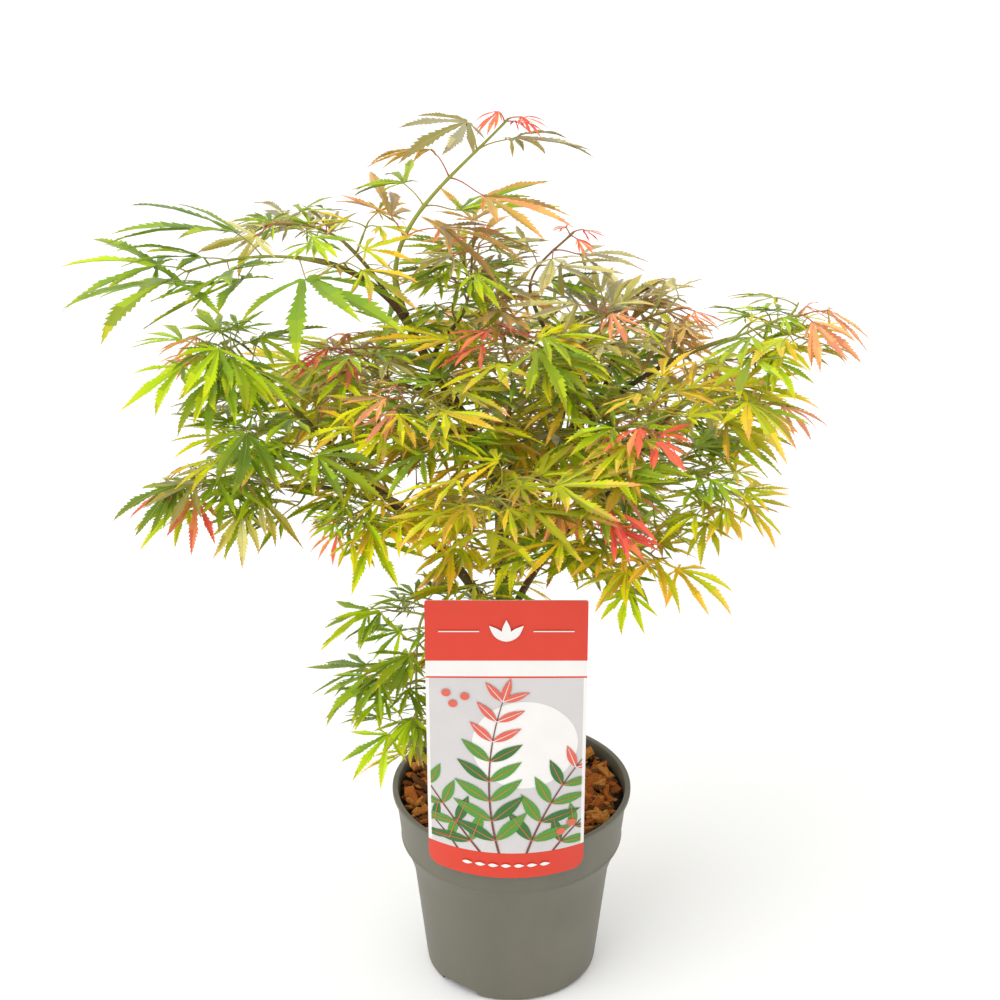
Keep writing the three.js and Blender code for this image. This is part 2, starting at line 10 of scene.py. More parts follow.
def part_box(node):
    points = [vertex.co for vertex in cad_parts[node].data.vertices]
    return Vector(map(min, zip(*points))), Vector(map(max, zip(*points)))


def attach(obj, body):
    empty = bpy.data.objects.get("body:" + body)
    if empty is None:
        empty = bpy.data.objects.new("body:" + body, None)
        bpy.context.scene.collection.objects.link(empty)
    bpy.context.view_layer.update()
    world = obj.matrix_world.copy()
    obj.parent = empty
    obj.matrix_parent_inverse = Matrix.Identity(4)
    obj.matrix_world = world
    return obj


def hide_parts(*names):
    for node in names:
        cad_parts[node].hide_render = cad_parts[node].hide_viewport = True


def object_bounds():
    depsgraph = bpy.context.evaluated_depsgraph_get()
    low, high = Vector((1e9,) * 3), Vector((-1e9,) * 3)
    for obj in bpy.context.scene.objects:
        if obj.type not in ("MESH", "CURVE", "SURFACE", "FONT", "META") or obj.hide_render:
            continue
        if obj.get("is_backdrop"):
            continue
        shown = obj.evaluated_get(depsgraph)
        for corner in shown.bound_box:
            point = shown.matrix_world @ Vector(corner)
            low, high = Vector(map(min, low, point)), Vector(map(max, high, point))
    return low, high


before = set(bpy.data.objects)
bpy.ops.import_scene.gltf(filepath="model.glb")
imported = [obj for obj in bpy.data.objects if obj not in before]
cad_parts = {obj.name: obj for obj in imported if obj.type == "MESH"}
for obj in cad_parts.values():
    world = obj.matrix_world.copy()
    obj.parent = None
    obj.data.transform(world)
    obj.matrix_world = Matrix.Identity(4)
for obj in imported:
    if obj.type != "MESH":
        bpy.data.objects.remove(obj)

bl_info = {
    "name": "Potted Japanese Maple",
    "version": (1, 0, 0),
    "blender": (4, 5, 0),
    "location": "View3D > Sidebar > Maple",
    "description": "Grows a young Japanese maple in its nursery pot, with its plant card",
    "category": "Add Mesh",
}

MM = 0.001
CAD_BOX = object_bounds()
POT_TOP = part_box("pot")[1].z
COMPOST_LOW, COMPOST_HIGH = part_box("compost")
CARD_LOW, CARD_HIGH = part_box("plant_card")
TRUNK_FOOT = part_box("trunk")[0].z
UP = Vector((0, 0, 1))

# Limbs, in the millimetres of the solids. A place is a bearing in degrees from +X, a
# reach from the pot's axis and a height. Each bough gives its parent, the share of the
# parent's length where it leaves, its tip, its two radii and how far its tip turns up.
TRUNK = {"fork": (180, 8, 405), "radii": (8.6, 4.9), "flare": 1.5, "flare_share": 0.12}
RISE = -0.3
BOUGHS = {
    "leader": ("trunk", 1, (173, 84, 584), (4.7, 3.1), 0.5),
    "right_leader": ("trunk", 0.93, (18, 63, 490), (3.8, 2.7), RISE),
    "left_bough": ("trunk", 0.56, (-174, 184, 537), (4.3, 2.1), 0.1),
    "right_bough": ("trunk", 0.6, (-39, 134, 494), (3.1, 1.8), RISE),
    "low_left_bough": ("trunk", 0.42, (-148, 66, 344), (2.5, 1.7), RISE),
    "arch_bough": ("leader", 0.93, (180, 145, 620), (2.7, 2.0), -0.4),
    "upper_left_bough": ("leader", 0.78, (162, 129, 615), (1.9, 1.4), RISE),
    "crown_bough": ("leader", 0.7, (140, 47, 566), (1.9, 1.4), 0.4),
    "inner_left_bough": ("leader", 0.45, (-166, 84, 529), (2.1, 1.5), RISE),
    "inner_bough": ("leader", 0.12, (-91, 30, 526), (2.2, 1.5), 0.2),
    "front_top_bough": ("leader", 0.3, (-134, 84, 512), (2.1, 1.5), RISE),
    "back_left_bough": ("leader", 0.2, (135, 140, 450), (2.4, 1.6), RISE),
    "fan_bough": ("left_bough", 0.6, (-163, 157, 505), (2.2, 1.6), RISE),
    "left_arm": ("left_bough", 0.45, (-165, 169, 457), (2.2, 1.6), RISE),
    "front_left_bough": ("left_bough", 0.3, (-144, 116, 462), (2.1, 1.5), RISE),
    "right_top_bough": ("right_leader", 0.85, (65, 33, 578), (1.9, 1.4), 0.2),
    "inner_right_bough": ("right_leader", 0.6, (-13, 45, 540), (1.9, 1.4), 0.2),
    "right_upper_bough": ("right_leader", 1, (26, 91, 537), (2.4, 1.6), RISE),
    "far_right_bough": ("right_leader", 0.75, (0, 158, 556), (2.4, 1.6), RISE),
    "right_front_bough": ("right_leader", 0.5, (-47, 95, 517), (2.1, 1.5), RISE),
    "back_right_bough": ("right_leader", 0.4, (42, 135, 450), (2.3, 1.6), RISE),
    "right_mid_bough": ("right_bough", 0.7, (-26, 136, 530), (2.0, 1.5), RISE),
    "front_right_bough": ("right_bough", 0.35, (-56, 97, 442), (2.0, 1.5), RISE),
    "front_mid_bough": ("right_bough", 0.5, (-73, 105, 488), (2.0, 1.5), RISE),
    "front_bough": ("trunk", 0.8, (-97, 96, 474), (2.3, 1.6), RISE),
    "back_bough": ("trunk", 0.88, (86, 105, 455), (2.4, 1.6), RISE),
    "low_back_bough": ("trunk", 0.66, (72, 90, 370), (2.2, 1.6), RISE),
}

# Masses of leaves: the bough, the stem's tip, the pairs on the stem of the solid, the
# length of a leaf's middle lobe, the family of tints, the tint of the young tip, and
# whether the mass has side twigs.
MASSES = {
    "top_shoot": ("leader", (125, 6, 727), 6, 74, "bronze", "scarlet", False),
    "left_arch": ("arch_bough", (-177, 236, 616), 4, 98, "arch", "dark", False),
    "upper_left": ("upper_left_bough", (171, 175, 637), 2, 56, "olive", "grey", True),
    "left_mid": ("left_bough", (-174, 224, 560), 3, 62, "green", "peach", True),
    "left_fan": ("fan_bough", (-162, 204, 506), 3, 66, "leafy", "lime", True),
    "left_low": ("left_arm", (-166, 242, 467), 3, 60, "leafy", "coral", True),
    "front_left": ("front_left_bough", (-145, 144, 443), 3, 52, "lime", "coral", True),
    "low_left": ("low_left_bough", (-149, 88, 240), 4, 49, "leafy", "turning", True),
    "crown": ("crown_bough", (133, 41, 627), 3, 50, "olive", "scarlet", True),
    "right_top": ("right_top_bough", (34, 54, 629), 4, 52, "olive", "scarlet", False),
    "right_upper": ("right_upper_bough", (18, 133, 563), 3, 56, "bronze", "coral", True),
    "far_right": ("far_right_bough", (0, 214, 576), 3, 58, "coral", "peach", True),
    "right_mid": ("right_mid_bough", (-18, 190, 532), 4, 64, "green", "peach", False),
    "right_low": ("right_bough", (-30, 184, 476), 3, 58, "green", "turning", True),
    "front_right": ("front_right_bough", (-47, 150, 434), 3, 56, "lime", "gold", True),
    "front": ("front_bough", (-99, 150, 499), 3, 70, "lime", "lime", True),
    "front_mid": ("front_mid_bough", (-68, 151, 485), 3, 68, "coral", "scarlet", True),
    "front_top": ("front_top_bough", (-131, 120, 551), 3, 64, "green", "peach", True),
    "right_front": ("right_front_bough", (-47, 144, 535), 3, 66, "coral", "scarlet", True),
    "inner": ("inner_bough", (-103, 36, 576), 3, 66, "green", "coral", True),
    "inner_left": ("inner_left_bough", (-168, 123, 560), 3, 62, "olive", "coral", True),
    "inner_right": ("inner_right_bough", (-12, 74, 579), 3, 62, "olive", "peach", True),
    "back_left": ("back_left_bough", (136, 200, 470), 3, 68, "green", "lime", True),
    "back": ("back_bough", (88, 180, 475), 3, 68, "olive", "coral", True),
    "back_right": ("back_right_bough", (42, 200, 470), 3, 68, "green", "peach", True),
    "low_back": ("low_back_bough", (76, 150, 385), 3, 62, "lime", "lime", True),
}

# A mass's own habit, where it isn't the rule's.
HABITS = {
    "top_shoot": {
        "over": 0.3,
        "under": 1.5,
        "past": 0.8,
        "hang": 8,
        "young": 0.42,
        "first_turn": 60,
        "turn": 190,
    },
    "left_arch": {
        "over": 0.55,
        "under": 0.7,
        "past": 1.5,
        "tip_size": 1.0,
        "petiole": 0.25,
        "hang": 4,
        "aside": 17,
    },
    "upper_left": {"over": 0.0, "under": 0.9, "past": 0.9, "young": 0.9, "first_turn": 40},
    "left_mid": {"over": 0.2, "under": 1.5, "past": 1.0, "hang": 6},
    "left_fan": {"over": 0.3, "hang": 4},
    "left_low": {"over": 0.3, "under": 2.1, "past": 1.9, "hang": 12, "young": 0.95},
    "front_left": {"under": 1.2, "hang": 8},
    "low_left": {"under": 1.2, "hang": 8},
    "crown": {"under": 1.2, "young": 0.42},
    "right_top": {"over": 0.4, "young": 0.5, "hang": 4},
    "right_upper": {"over": 0.0, "under": 0.7, "hang": 2},
    "far_right": {"over": 0.0, "under": 1.2, "past": 0.7, "hang": 6, "young": 0.95},
    "right_mid": {"over": 0.15, "under": 0.9, "past": 0.9, "hang": 6},
    "right_low": {"over": 0.4, "under": 0.4, "past": 0.1, "tip_size": 0.55},
    "front_right": {"under": 1.0, "past": 0.3, "hang": 4, "tip_size": 0.75},
    "front": {"under": 1.3},
    "front_mid": {"under": 1.6, "young": 0.75, "hang": 6},
    "right_front": {"under": 1.2, "young": 0.7},
    "inner": {"over": 0.9, "under": 1.0, "past": 0.5},
    "back_left": {"past": 0.8},
    "back": {"past": 1.0, "young": 1.0},
    "back_right": {"past": 0.8},
}

# The rule by which every mass grows: lengths are shares of the mass's leaf and angles are
# in degrees, unless a line says otherwise.
SHOOT = {
    "onward": 0.35,  # share of a stem that keeps its bough's direction
    "arch": -0.3,  # how far its tip turns down
    "tip_radius": 0.9,  # millimetres
    "first_node": 0.12,  # share of the stem
    "tip_node": 3.5,  # millimetres back from a tip
    "pair_angle": 55,
    "petiole": 0.4,
    "twig": 0.6,
    "short_twig": 0.34,
    "twig_bow": 0.07,  # share of its length by which a side twig bends aside
    "twig_radius": 0.8,  # millimetres
    "twig_level": 0.45,  # how much of its rise or fall a side twig keeps
    "twig_turn": 20,
    "tip_size": 0.8,
    "size_spread": 0.2,
    "shrink": 0.04,  # how much smaller a leaf is at each further try
    "level": 0.35,  # how much of its rise or fall a petiole keeps
    "lift_spread": 0.35,
    "droop": (-8, 6),  # of the leaves at the crown's top and at its foot
    "droop_heights": (0.62, 0.4),  # the crown's top and foot, in metres
    "droop_spread": 14,
    "roll": 17,
    "swing": 50,
    "space": 1.85,  # how far from its stem a mass may reach
    "over": 0.5,  # how far above its stem a mass's leaves reach
    "under": 0.9,  # how far under its stem
    "past": 0.4,  # how far past its tip
    "hang": 0,  # how much further they hang
    "aside": 0,  # how far they roll to one side
    "young": 0.66,  # size of its young leaves, as a share of the others'
    "first_turn": 0,  # of the first pair, round the stem
    "turn": 80,  # from one pair to the next
    "tries": 18,
}

# Short leafy spurs stand along every bough and high on the trunk, at shares of its length.
# Some limbs are bare up to a share. The lengths are in millimetres.
SPUR = {
    "shares": (0.2, 0.3, 0.4, 0.5, 0.6, 0.7, 0.8, 0.9),
    "from": {"trunk": 0.7, "arch_bough": 0.55, "upper_left_bough": 0.65, "far_right_bough": 0.5},
    "leaf": 50,
    "length": 23,
    "turn": 137,  # degrees from one spur to the next
    "stand": 1.35,  # share of the limb's radius at which a spur starts
    "seed": 60,
}

# Which tints a family's sprays take, with their shares.
FAMILIES = {
    "green": (("fresh", 0.4), ("deep", 0.25), ("turning", 0.15), ("lime", 0.2)),
    "leafy": (("fresh", 0.5), ("deep", 0.25), ("lime", 0.15), ("olive", 0.1)),
    "lime": (("lime", 0.33), ("fresh", 0.36), ("turning", 0.23), ("gold", 0.08)),
    "olive": (("olive", 0.35), ("grey", 0.25), ("fresh", 0.25), ("bronze", 0.15)),
    "bronze": (("bronze", 0.45), ("olive", 0.4), ("fresh", 0.15)),
    "arch": (("dark", 0.6), ("deep", 0.2), ("olive", 0.2)),
    "coral": (("fresh", 0.4), ("lime", 0.2), ("turning", 0.2), ("gold", 0.1), ("peach", 0.1)),
    "inner": (
        ("lime", 0.25),
        ("fresh", 0.25),
        ("deep", 0.1),
        ("gold", 0.1),
        ("turning", 0.15),
        ("olive", 0.15),
    ),
}

# The tints that each piece of joined leaves holds.
LEAF_PIECES = {
    "green": ("fresh", "deep", "dark"),
    "lime": ("lime", "gold", "turning"),
    "olive": ("olive", "grey"),
    "bronze": ("bronze", "peach"),
    "coral": ("coral", "scarlet"),
}
YOUNG_TINTS = ("coral", "scarlet", "peach")
RED_STALK_TINTS = (*YOUNG_TINTS, "bronze", "grey")
RED_TWIG_TINTS = ("bronze", "coral", "gold", "grey")
GREEN_WOOD, RED_WOOD = 0, 1  # material slots of the twigs and of the stalks


# --- Numbers and places ---
def paint(code):
    """A colour such as "6f9a1e" in the linear values that Blender's sockets take."""
    parts = [int(code[i : i + 2], 16) / 255 for i in (0, 2, 4)]
    return tuple(c / 12.92 if c <= 0.04045 else ((c + 0.055) / 1.055) ** 2.4 for c in parts)


def mix(a, b, share):
    """The number that lies a share of the way from one to the other."""
    return a + (b - a) * share


def mixed(a, b, share):
    """The colour that lies a share of the way from one to the other."""
    return tuple(mix(x, y, share) for x, y in zip(a, b))


def polar(place):
    """A bearing in degrees, a reach and a height, as a point in metres."""
    bearing, reach, height = place
    a = radians(bearing)
    return Vector((reach * cos(a), reach * sin(a), height)) * MM


def chance(*keys):
    """The same number from 0 to 1 for the same keys."""
    weights = (12.9898, 78.233, 37.719, 93.989)
    s = sin(1 + sum(key * weight for key, weight in zip(keys, weights))) * 43758.5453
    return s - floor(s)


def spread(*keys):
    """As chance, from -1 to 1."""
    return 2 * chance(*keys) - 1


class Curve:
    """A cubic Bezier curve that is read by shares of its length."""

    STEPS = 200

    def __init__(self, start, leaving, end, arriving, share):
        handle = (end - start).length * share
        ends = [start, start + leaving.normalized() * handle, end - arriving.normalized() * handle, end]
        t = np.linspace(0, 1, self.STEPS + 1)[:, None]
        weights = np.hstack([(1 - t) ** 3, 3 * t * (1 - t) ** 2, 3 * t * t * (1 - t), t**3])
        self.points = weights @ np.array([list(p) for p in ends])
        steps = np.linalg.norm(np.diff(self.points, axis=0), axis=1)
        self.lengths = np.concatenate([[0], np.cumsum(steps)])
        self.length = self.lengths[-1]

    def at(self, share):
        """The point at a share of the curve's length."""
        place = share * self.length
        return Vector([np.interp(place, self.lengths, self.points[:, i]) for i in range(3)])

    def along(self, share):
        """The curve's direction at a share of its length."""
        low, high = max(0, share - 0.01), min(1, share + 0.01)
        return (self.at(high) - self.at(low)).normalized()


# --- Settings ---
def colour_setting(name, description, code):
    return bpy.props.FloatVectorProperty(
        name=name, description=description, subtype="COLOR", size=3, min=0, max=1, default=paint(code)
    )


def length_setting(name, description, default):
    return bpy.props.FloatProperty(name=name, description=description, unit="LENGTH", default=default)


def share_setting(name, description, default):
    return bpy.props.FloatProperty(name=name, description=description, subtype="FACTOR", default=default)


def angle_setting(name, description, in_degrees):
    angle = radians(in_degrees)
    return bpy.props.FloatProperty(name=name, description=description, subtype="ANGLE", default=angle)


class MaplePotSettings(bpy.types.PropertyGroup):
    """The nursery pot. Its outside comes from the solid."""

    sides: bpy.props.IntProperty(name="Sides", description="Sides round the pot", default=144, min=24)
    wall: length_setting("Wall", "Thickness of the wall", 2.2 * MM)
    edge: length_setting("Edge", "Rounding of the lip and the steps", 0.7 * MM)
    plastic: colour_setting("Plastic", "The moulded plastic", "6c695c")
    dust: colour_setting("Dust", "Dry residue on the plastic", "878270")


class MapleCompostSettings(bpy.types.PropertyGroup):
    """The medium and the bark chips on it."""

    chips: bpy.props.IntProperty(name="Chips", description="Bark chips on the surface", default=1150, min=0)
    longest: length_setting("Longest chip", "Length of the longest chips", 17 * MM)
    shortest: length_setting("Shortest chip", "Length of the shortest chips", 4.5 * MM)
    soil: colour_setting("Medium", "The moist medium between the chips", "2e1a0e")
    dark_chip: colour_setting("Dark chip", "The darkest chips", "52240c")
    chip: colour_setting("Chip", "Most of the chips", "a34f18")
    pale_chip: colour_setting("Pale chip", "The freshest chips", "be7a36")


class MapleCardSettings(bpy.types.PropertyGroup):
    """The plant card and its print."""

    thickness: length_setting("Thickness", "Thickness of the card", 0.8 * MM)
    corner: length_setting("Corner", "Radius of the card's lower corners", 9 * MM)
    strap: length_setting("Hook width", "Width of the tongue that hooks over the lip", 26 * MM)
    band: colour_setting("Band", "The bands at the top and the foot", "d3371e")
    paper: colour_setting("Paper", "The white strip, the edge and the ornaments", "e8e5e2")
    panel: colour_setting("Panel", "Ground of the picture panel", "cbc7c6")
    leaf: colour_setting("Printed leaf", "The green printed leaves", "4f8f2a")
    deep_leaf: colour_setting("Deep printed leaf", "The darker printed leaves", "2f6a24")
    young_leaf: colour_setting("Printed young leaf", "The coral printed leaves", "d9604c")
    stem: colour_setting("Printed stem", "The printed stems", "6f3a2a")


class MapleWoodSettings(bpy.types.PropertyGroup):
    """The trunk and the boughs."""

    sides: bpy.props.IntProperty(name="Sides", description="Sides of a limb", default=16, min=6)
    ring: length_setting("Ring", "Distance between a limb's rings", 2.2 * MM)
    relief: share_setting("Relief", "Depth of the bark's ridges, as a share of the radius", 0.07)
    collar: share_setting("Collar", "Swelling where a bough leaves its parent", 0.45)
    joint: length_setting("Node spacing", "Distance between the leaf scars on a bough", 34 * MM)
    old_bark: colour_setting("Old bark", "Bark of the trunk", "59562c")
    moss: colour_setting("Green bark", "Green cast on the trunk", "76823a")
    brown_bark: colour_setting("Brown bark", "Bark of the lower boughs", "5c3b26")
    young_bark: colour_setting("Young bark", "Bark towards a bough's tip", "8a8438")


class MapleShootSettings(bpy.types.PropertyGroup):
    """The shoots that bear the leaves."""

    green_shoot: colour_setting("Green shoot", "A green stem", "93983a")
    red_shoot: colour_setting("Red shoot", "A stem that the sun has reddened", "94713a")
    petiole: colour_setting("Leaf stalk", "A leaf's stalk", "a89a3c")
    red_petiole: colour_setting("Red leaf stalk", "A young leaf's stalk", "b8664a")


class MapleLeafSettings(bpy.types.PropertyGroup):
    """Form of a leaf, and the tints of the sprays."""

    half_width: share_setting("Half width", "Half a lobe's width, as a share of its length", 0.07)
    tooth: share_setting("Tooth", "How far a tooth stands out, as a share of the half width", 0.42)
    fold: angle_setting("Fold", "How steeply a lobe's halves rise from its rib", 16)
    sag: share_setting("Sag", "How far a lobe's tip hangs, as a share of its length", 0.13)
    rib: share_setting("Rib", "Half a rib's width, as a share of a lobe's length", 0.006)
    rib_light: share_setting("Rib tint", "How far the ribs differ from the blade", 0.3)
    fresh: colour_setting("Fresh green", "Most of the leaves inside the crown", "90a616")
    deep: colour_setting("Deep green", "The oldest leaves", "6c861e")
    dark: colour_setting("Dark green", "Leaves of the arching shoot", "627e20")
    lime: colour_setting("Lime", "Yellow-green leaves", "acac16")
    gold: colour_setting("Gold", "Leaves that turn to yellow", "b4981e")
    turning: colour_setting("Turning", "Green leaves with orange tips", "989e18")
    olive: colour_setting("Olive", "Leaves that turn to bronze", "968e44")
    grey: colour_setting("Grey-olive", "Dull leaves at the top", "a8a27a")
    bronze: colour_setting("Bronze", "Leaves of the top shoot", "a08044")
    peach: colour_setting("Peach", "Pale orange young leaves", "e08e62")
    coral: colour_setting("Coral", "Coral young leaves", "e87a5a")
    scarlet: colour_setting("Scarlet", "The youngest leaves", "e2504a")


class MapleStageSettings(bpy.types.PropertyGroup):
    """Floor, lights and camera."""

    floor: colour_setting("Floor", "The pale floor", "ffffff")
    key: bpy.props.FloatProperty(name="Key light", description="Strength of the key light", default=1.0)
    softness: angle_setting("Softness", "How wide the key light is", 50)
    sky: bpy.props.FloatProperty(name="Surround", description="Strength of the white surround", default=1.03)
    camera_place: bpy.props.FloatVectorProperty(
        name="Camera",
        description="Place of the camera",
        subtype="TRANSLATION",
        size=3,
        default=(-0.0092, -1.999, 1.493),
    )
    camera_pitch: angle_setting("Pitch", "How far the camera looks down", 28.18)
    lens: bpy.props.FloatProperty(name="Lens", description="Focal length in millimetres", default=107.7)


SETTINGS = {
    "maple_pot": MaplePotSettings,
    "maple_compost": MapleCompostSettings,
    "maple_card": MapleCardSettings,
    "maple_wood": MapleWoodSettings,
    "maple_shoots": MapleShootSettings,
    "maple_leaves": MapleLeafSettings,
    "maple_stage": MapleStageSettings,
}


# --- Pieces and materials ---
def put_in_scene(name, data):
    """An object of a mesh, a light or a camera."""
    made = bpy.data.objects.new(name, data)
    bpy.context.scene.collection.objects.link(made)
    return made


def add_piece(name, mesh, materials, replaced=()):
    """Puts a mesh into the scene as a piece that rides on the plant's one body."""
    mesh.name = name
    for material in materials:
        mesh.materials.append(material)
    piece = put_in_scene(name, mesh)
    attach(piece, "root")
    if replaced:
        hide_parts(*replaced)


def mesh_from(bm, smooth=True):
    """The mesh of a bmesh, which is freed."""
    for face in bm.faces:
        face.smooth = smooth
    mesh = bpy.data.meshes.new("maple")
    bm.to_mesh(mesh)
    bm.free()
    return mesh


def add_to(whole, bm):
    """Adds a bmesh to another and frees it."""
    mesh = bpy.data.meshes.new("part")
    bm.to_mesh(mesh)
    bm.free()
    whole.from_mesh(mesh)
    bpy.data.meshes.remove(mesh)


def verts_of(geom):
    return [v for v in geom if isinstance(v, bmesh.types.BMVert)]


def edges_of(geom):
    return [e for e in geom if isinstance(e, bmesh.types.BMEdge)]


def faces_of(geom):
    return [f for f in geom if isinstance(f, bmesh.types.BMFace)]


def turn_faces(bm, direction):
    """Turns all faces of a sheet to the side that a direction points to."""
    bmesh.ops.recalc_face_normals(bm, faces=bm.faces)
    if sum(face.normal.dot(direction) for face in bm.faces) < 0:
        bmesh.ops.reverse_faces(bm, faces=bm.faces)


def corners_and_counts(faces):
    """The corners of faces one after the other, and how many each face has."""
    return np.array([i for face in faces for i in face]), np.array([len(face) for face in faces])


def join_arrays(parts):
    """One mesh of many parts, each with its points, its faces and each face's slot."""
    mesh = bpy.data.meshes.new("maple")
    points = np.concatenate([part[0] for part in parts])
    starts = np.cumsum([0] + [len(part[0]) for part in parts])
    corners = np.concatenate([part[1] + start for part, start in zip(parts, starts)])
    counts = np.concatenate([part[2] for part in parts])
    slots = np.concatenate([part[3] for part in parts])
    mesh.vertices.add(len(points))
    mesh.vertices.foreach_set("co", points.astype(np.float32).ravel())
    mesh.loops.add(len(corners))
    mesh.loops.foreach_set("vertex_index", corners.astype(np.int32))
    mesh.polygons.add(len(counts))
    mesh.polygons.foreach_set("loop_start", np.concatenate([[0], np.cumsum(counts)[:-1]]).astype(np.int32))
    mesh.polygons.foreach_set("material_index", slots.astype(np.int32))
    mesh.polygons.foreach_set("use_smooth", np.ones(len(counts), bool))
    mesh.update(calc_edges=True)
    mesh.validate()
    return mesh


class Shader:
    """A material with a Principled shader, and short ways to add nodes to it."""

    def __init__(self, name, colour, roughness, **values):
        self.material = bpy.data.materials.new(name)
        self.material.use_nodes = True
        self.material.diffuse_color = (*colour, 1)
        self.tree = self.material.node_tree
        self.principled = self.tree.nodes["Principled BSDF"]
        self.set(self.principled, {"Base Color": (*colour, 1), "Roughness": roughness, **values})

    def set(self, node, values):
        for socket, value in values.items():
            node.inputs[socket].default_value = value

    def node(self, kind, inputs=None, **settings):
        node = self.tree.nodes.new(kind)
        for setting, value in settings.items():
            setattr(node, setting, value)
        for socket, value in (inputs or {}).items():
            if isinstance(value, bpy.types.NodeSocket):
                self.tree.links.new(value, node.inputs[socket])
            else:
                node.inputs[socket].default_value = value
        return node

    def place(self, scale=(1, 1, 1)):
        """The piece's own coordinates, stretched."""
        where = self.node("ShaderNodeTexCoord").outputs["Object"]
        return self.node("ShaderNodeMapping", {"Vector": where, "Scale": scale}).outputs["Vector"]

    def noise(self, where, scale, detail=3, roughness=0.5, distortion=0):
        inputs = {
            "Vector": where,
            "Scale": scale,
            "Detail": detail,
            "Roughness": roughness,
            "Distortion": distortion,
        }
        return self.node("ShaderNodeTexNoise", inputs).outputs["Fac"]

    def ramp(self, value, stops):
        """Colours or greys along a value: each stop is its place and its colour."""
        node = self.node("ShaderNodeValToRGB", {"Fac": value})
        elements = node.color_ramp.elements
        while len(elements) < len(stops):
            elements.new(0.5)
        for element, (place, colour) in zip(elements, stops):
            element.position = place
            element.color = (*colour, 1) if len(colour) == 3 else colour
        return node.outputs["Color"]

    def blend(self, share, first, second, kind="MIX"):
        """Two colours mixed by a share. Each of the three is a value or a node's output."""
        node = self.node("ShaderNodeMix", data_type="RGBA", blend_type=kind)
        for socket, value in zip(("Factor", "A", "B"), (share, first, second)):
            target = [s for s in node.inputs if s.name == socket and s.enabled][0]
            if isinstance(value, bpy.types.NodeSocket):
                self.tree.links.new(value, target)
            elif socket == "Factor":
                target.default_value = value
            else:
                target.default_value = (*value, 1)
        return [s for s in node.outputs if s.enabled][0]

    def colour(self, source):
        self.tree.links.new(source, self.principled.inputs["Base Color"])

    def rough(self, source, low, high):
        """Lets the roughness follow a value from low to high."""
        node = self.node("ShaderNodeMapRange", {"Value": source, "To Min": low, "To Max": high})
        self.tree.links.new(node.outputs["Result"], self.principled.inputs["Roughness"])

    def bump(self, source, strength, distance, below=None):
        """Raises the surface by a value, over the bump below it if there is one."""
        inputs = {"Height": source, "Strength": strength, "Distance": distance}
        if below is not None:
            inputs["Normal"] = below
        node = self.node("ShaderNodeBump", inputs)
        self.tree.links.new(node.outputs["Normal"], self.principled.inputs["Normal"])
        return node.outputs["Normal"]


def grey(value):
    return (value, value, value)


BLACK = grey(0)


# --- Pot ---
# The pot's outside, in millimetres: lip, band, shoulder and foot as on the solid. A bead
# runs under the band, over a shallow groove.
POT = {
    "rim": 95,
    "lip": 2.2,
    "lip_height": 5,
    "lip_slope": 1.5,
    "band": 88,
    "band_foot": 122,
    "shoulder_radius": 78.5,
    "shoulder": 96,
    "foot": 68,
    "round": 6,
    "swell_foot": 3,
    "swell_top": 8,
    "bead_drop": 2.5,
    "bead": 1.1,
    "bead_height": 1.6,
    "groove": 0.6,
    "groove_drop": 2,
}
DRAIN = {"width": 40, "side": 6.5, "crown": 9, "slant": 3, "depth": 16, "past": 8, "bearings": (-129, 51)}


def pot_radius(z):
    """Radius of the pot's outside at a height in millimetres, under the lip."""
    height = POT_TOP / MM
    if z < POT["shoulder"]:
        return mix(POT["foot"], POT["shoulder_radius"], z / POT["shoulder"])
    if z < POT["band_foot"]:
        share = (z - POT["shoulder"]) / (POT["band_foot"] - POT["shoulder"])
        return mix(POT["shoulder_radius"], POT["band"], share)
    share = (z - POT["band_foot"]) / (height - POT["band_foot"])
    return mix(POT["band"], POT["rim"] - POT["lip"], share)


def pot_outline(wall):
    """The pot's section from the middle of its underside, out, up, in and down again. The
    shoulder swells out to the band in a shallow S."""
    height = POT_TOP / MM
    corner, lip_foot = POT["round"], height - POT["lip_height"]
    centre = pot_radius(corner) - corner
    outside = [(0, 0), (centre * 0.5, 0)]
    for a in (0, 22.5, 45, 67.5, 90):
        outside.append((centre + corner * sin(radians(a)), corner - corner * cos(radians(a))))
    swell_foot, swell_top = POT["shoulder"] - POT["swell_foot"], POT["shoulder"] + POT["swell_top"]
    bead, stand = POT["band_foot"] - POT["bead_drop"], POT["bead"]
    bead_top, band_edge = bead + POT["bead_height"], bead + 2 * POT["bead_height"]
    outside += [
        (pot_radius(swell_foot) + 0.1, swell_foot),
        (pot_radius(swell_top), swell_top),
        (pot_radius(bead) - POT["groove"], bead - POT["groove_drop"]),
        (pot_radius(bead) + stand, bead),
        (pot_radius(bead_top) + stand, bead_top),
        (pot_radius(band_edge), band_edge),
        (pot_radius(lip_foot), lip_foot),
        (POT["rim"], lip_foot + POT["lip_slope"]),
        (POT["rim"], height),
    ]
    heights = (height, POT["band_foot"], POT["shoulder"], corner)
    inside = [(pot_radius(z) - wall, z) for z in heights]
    return outside + inside + [(centre, wall), (0, wall)]


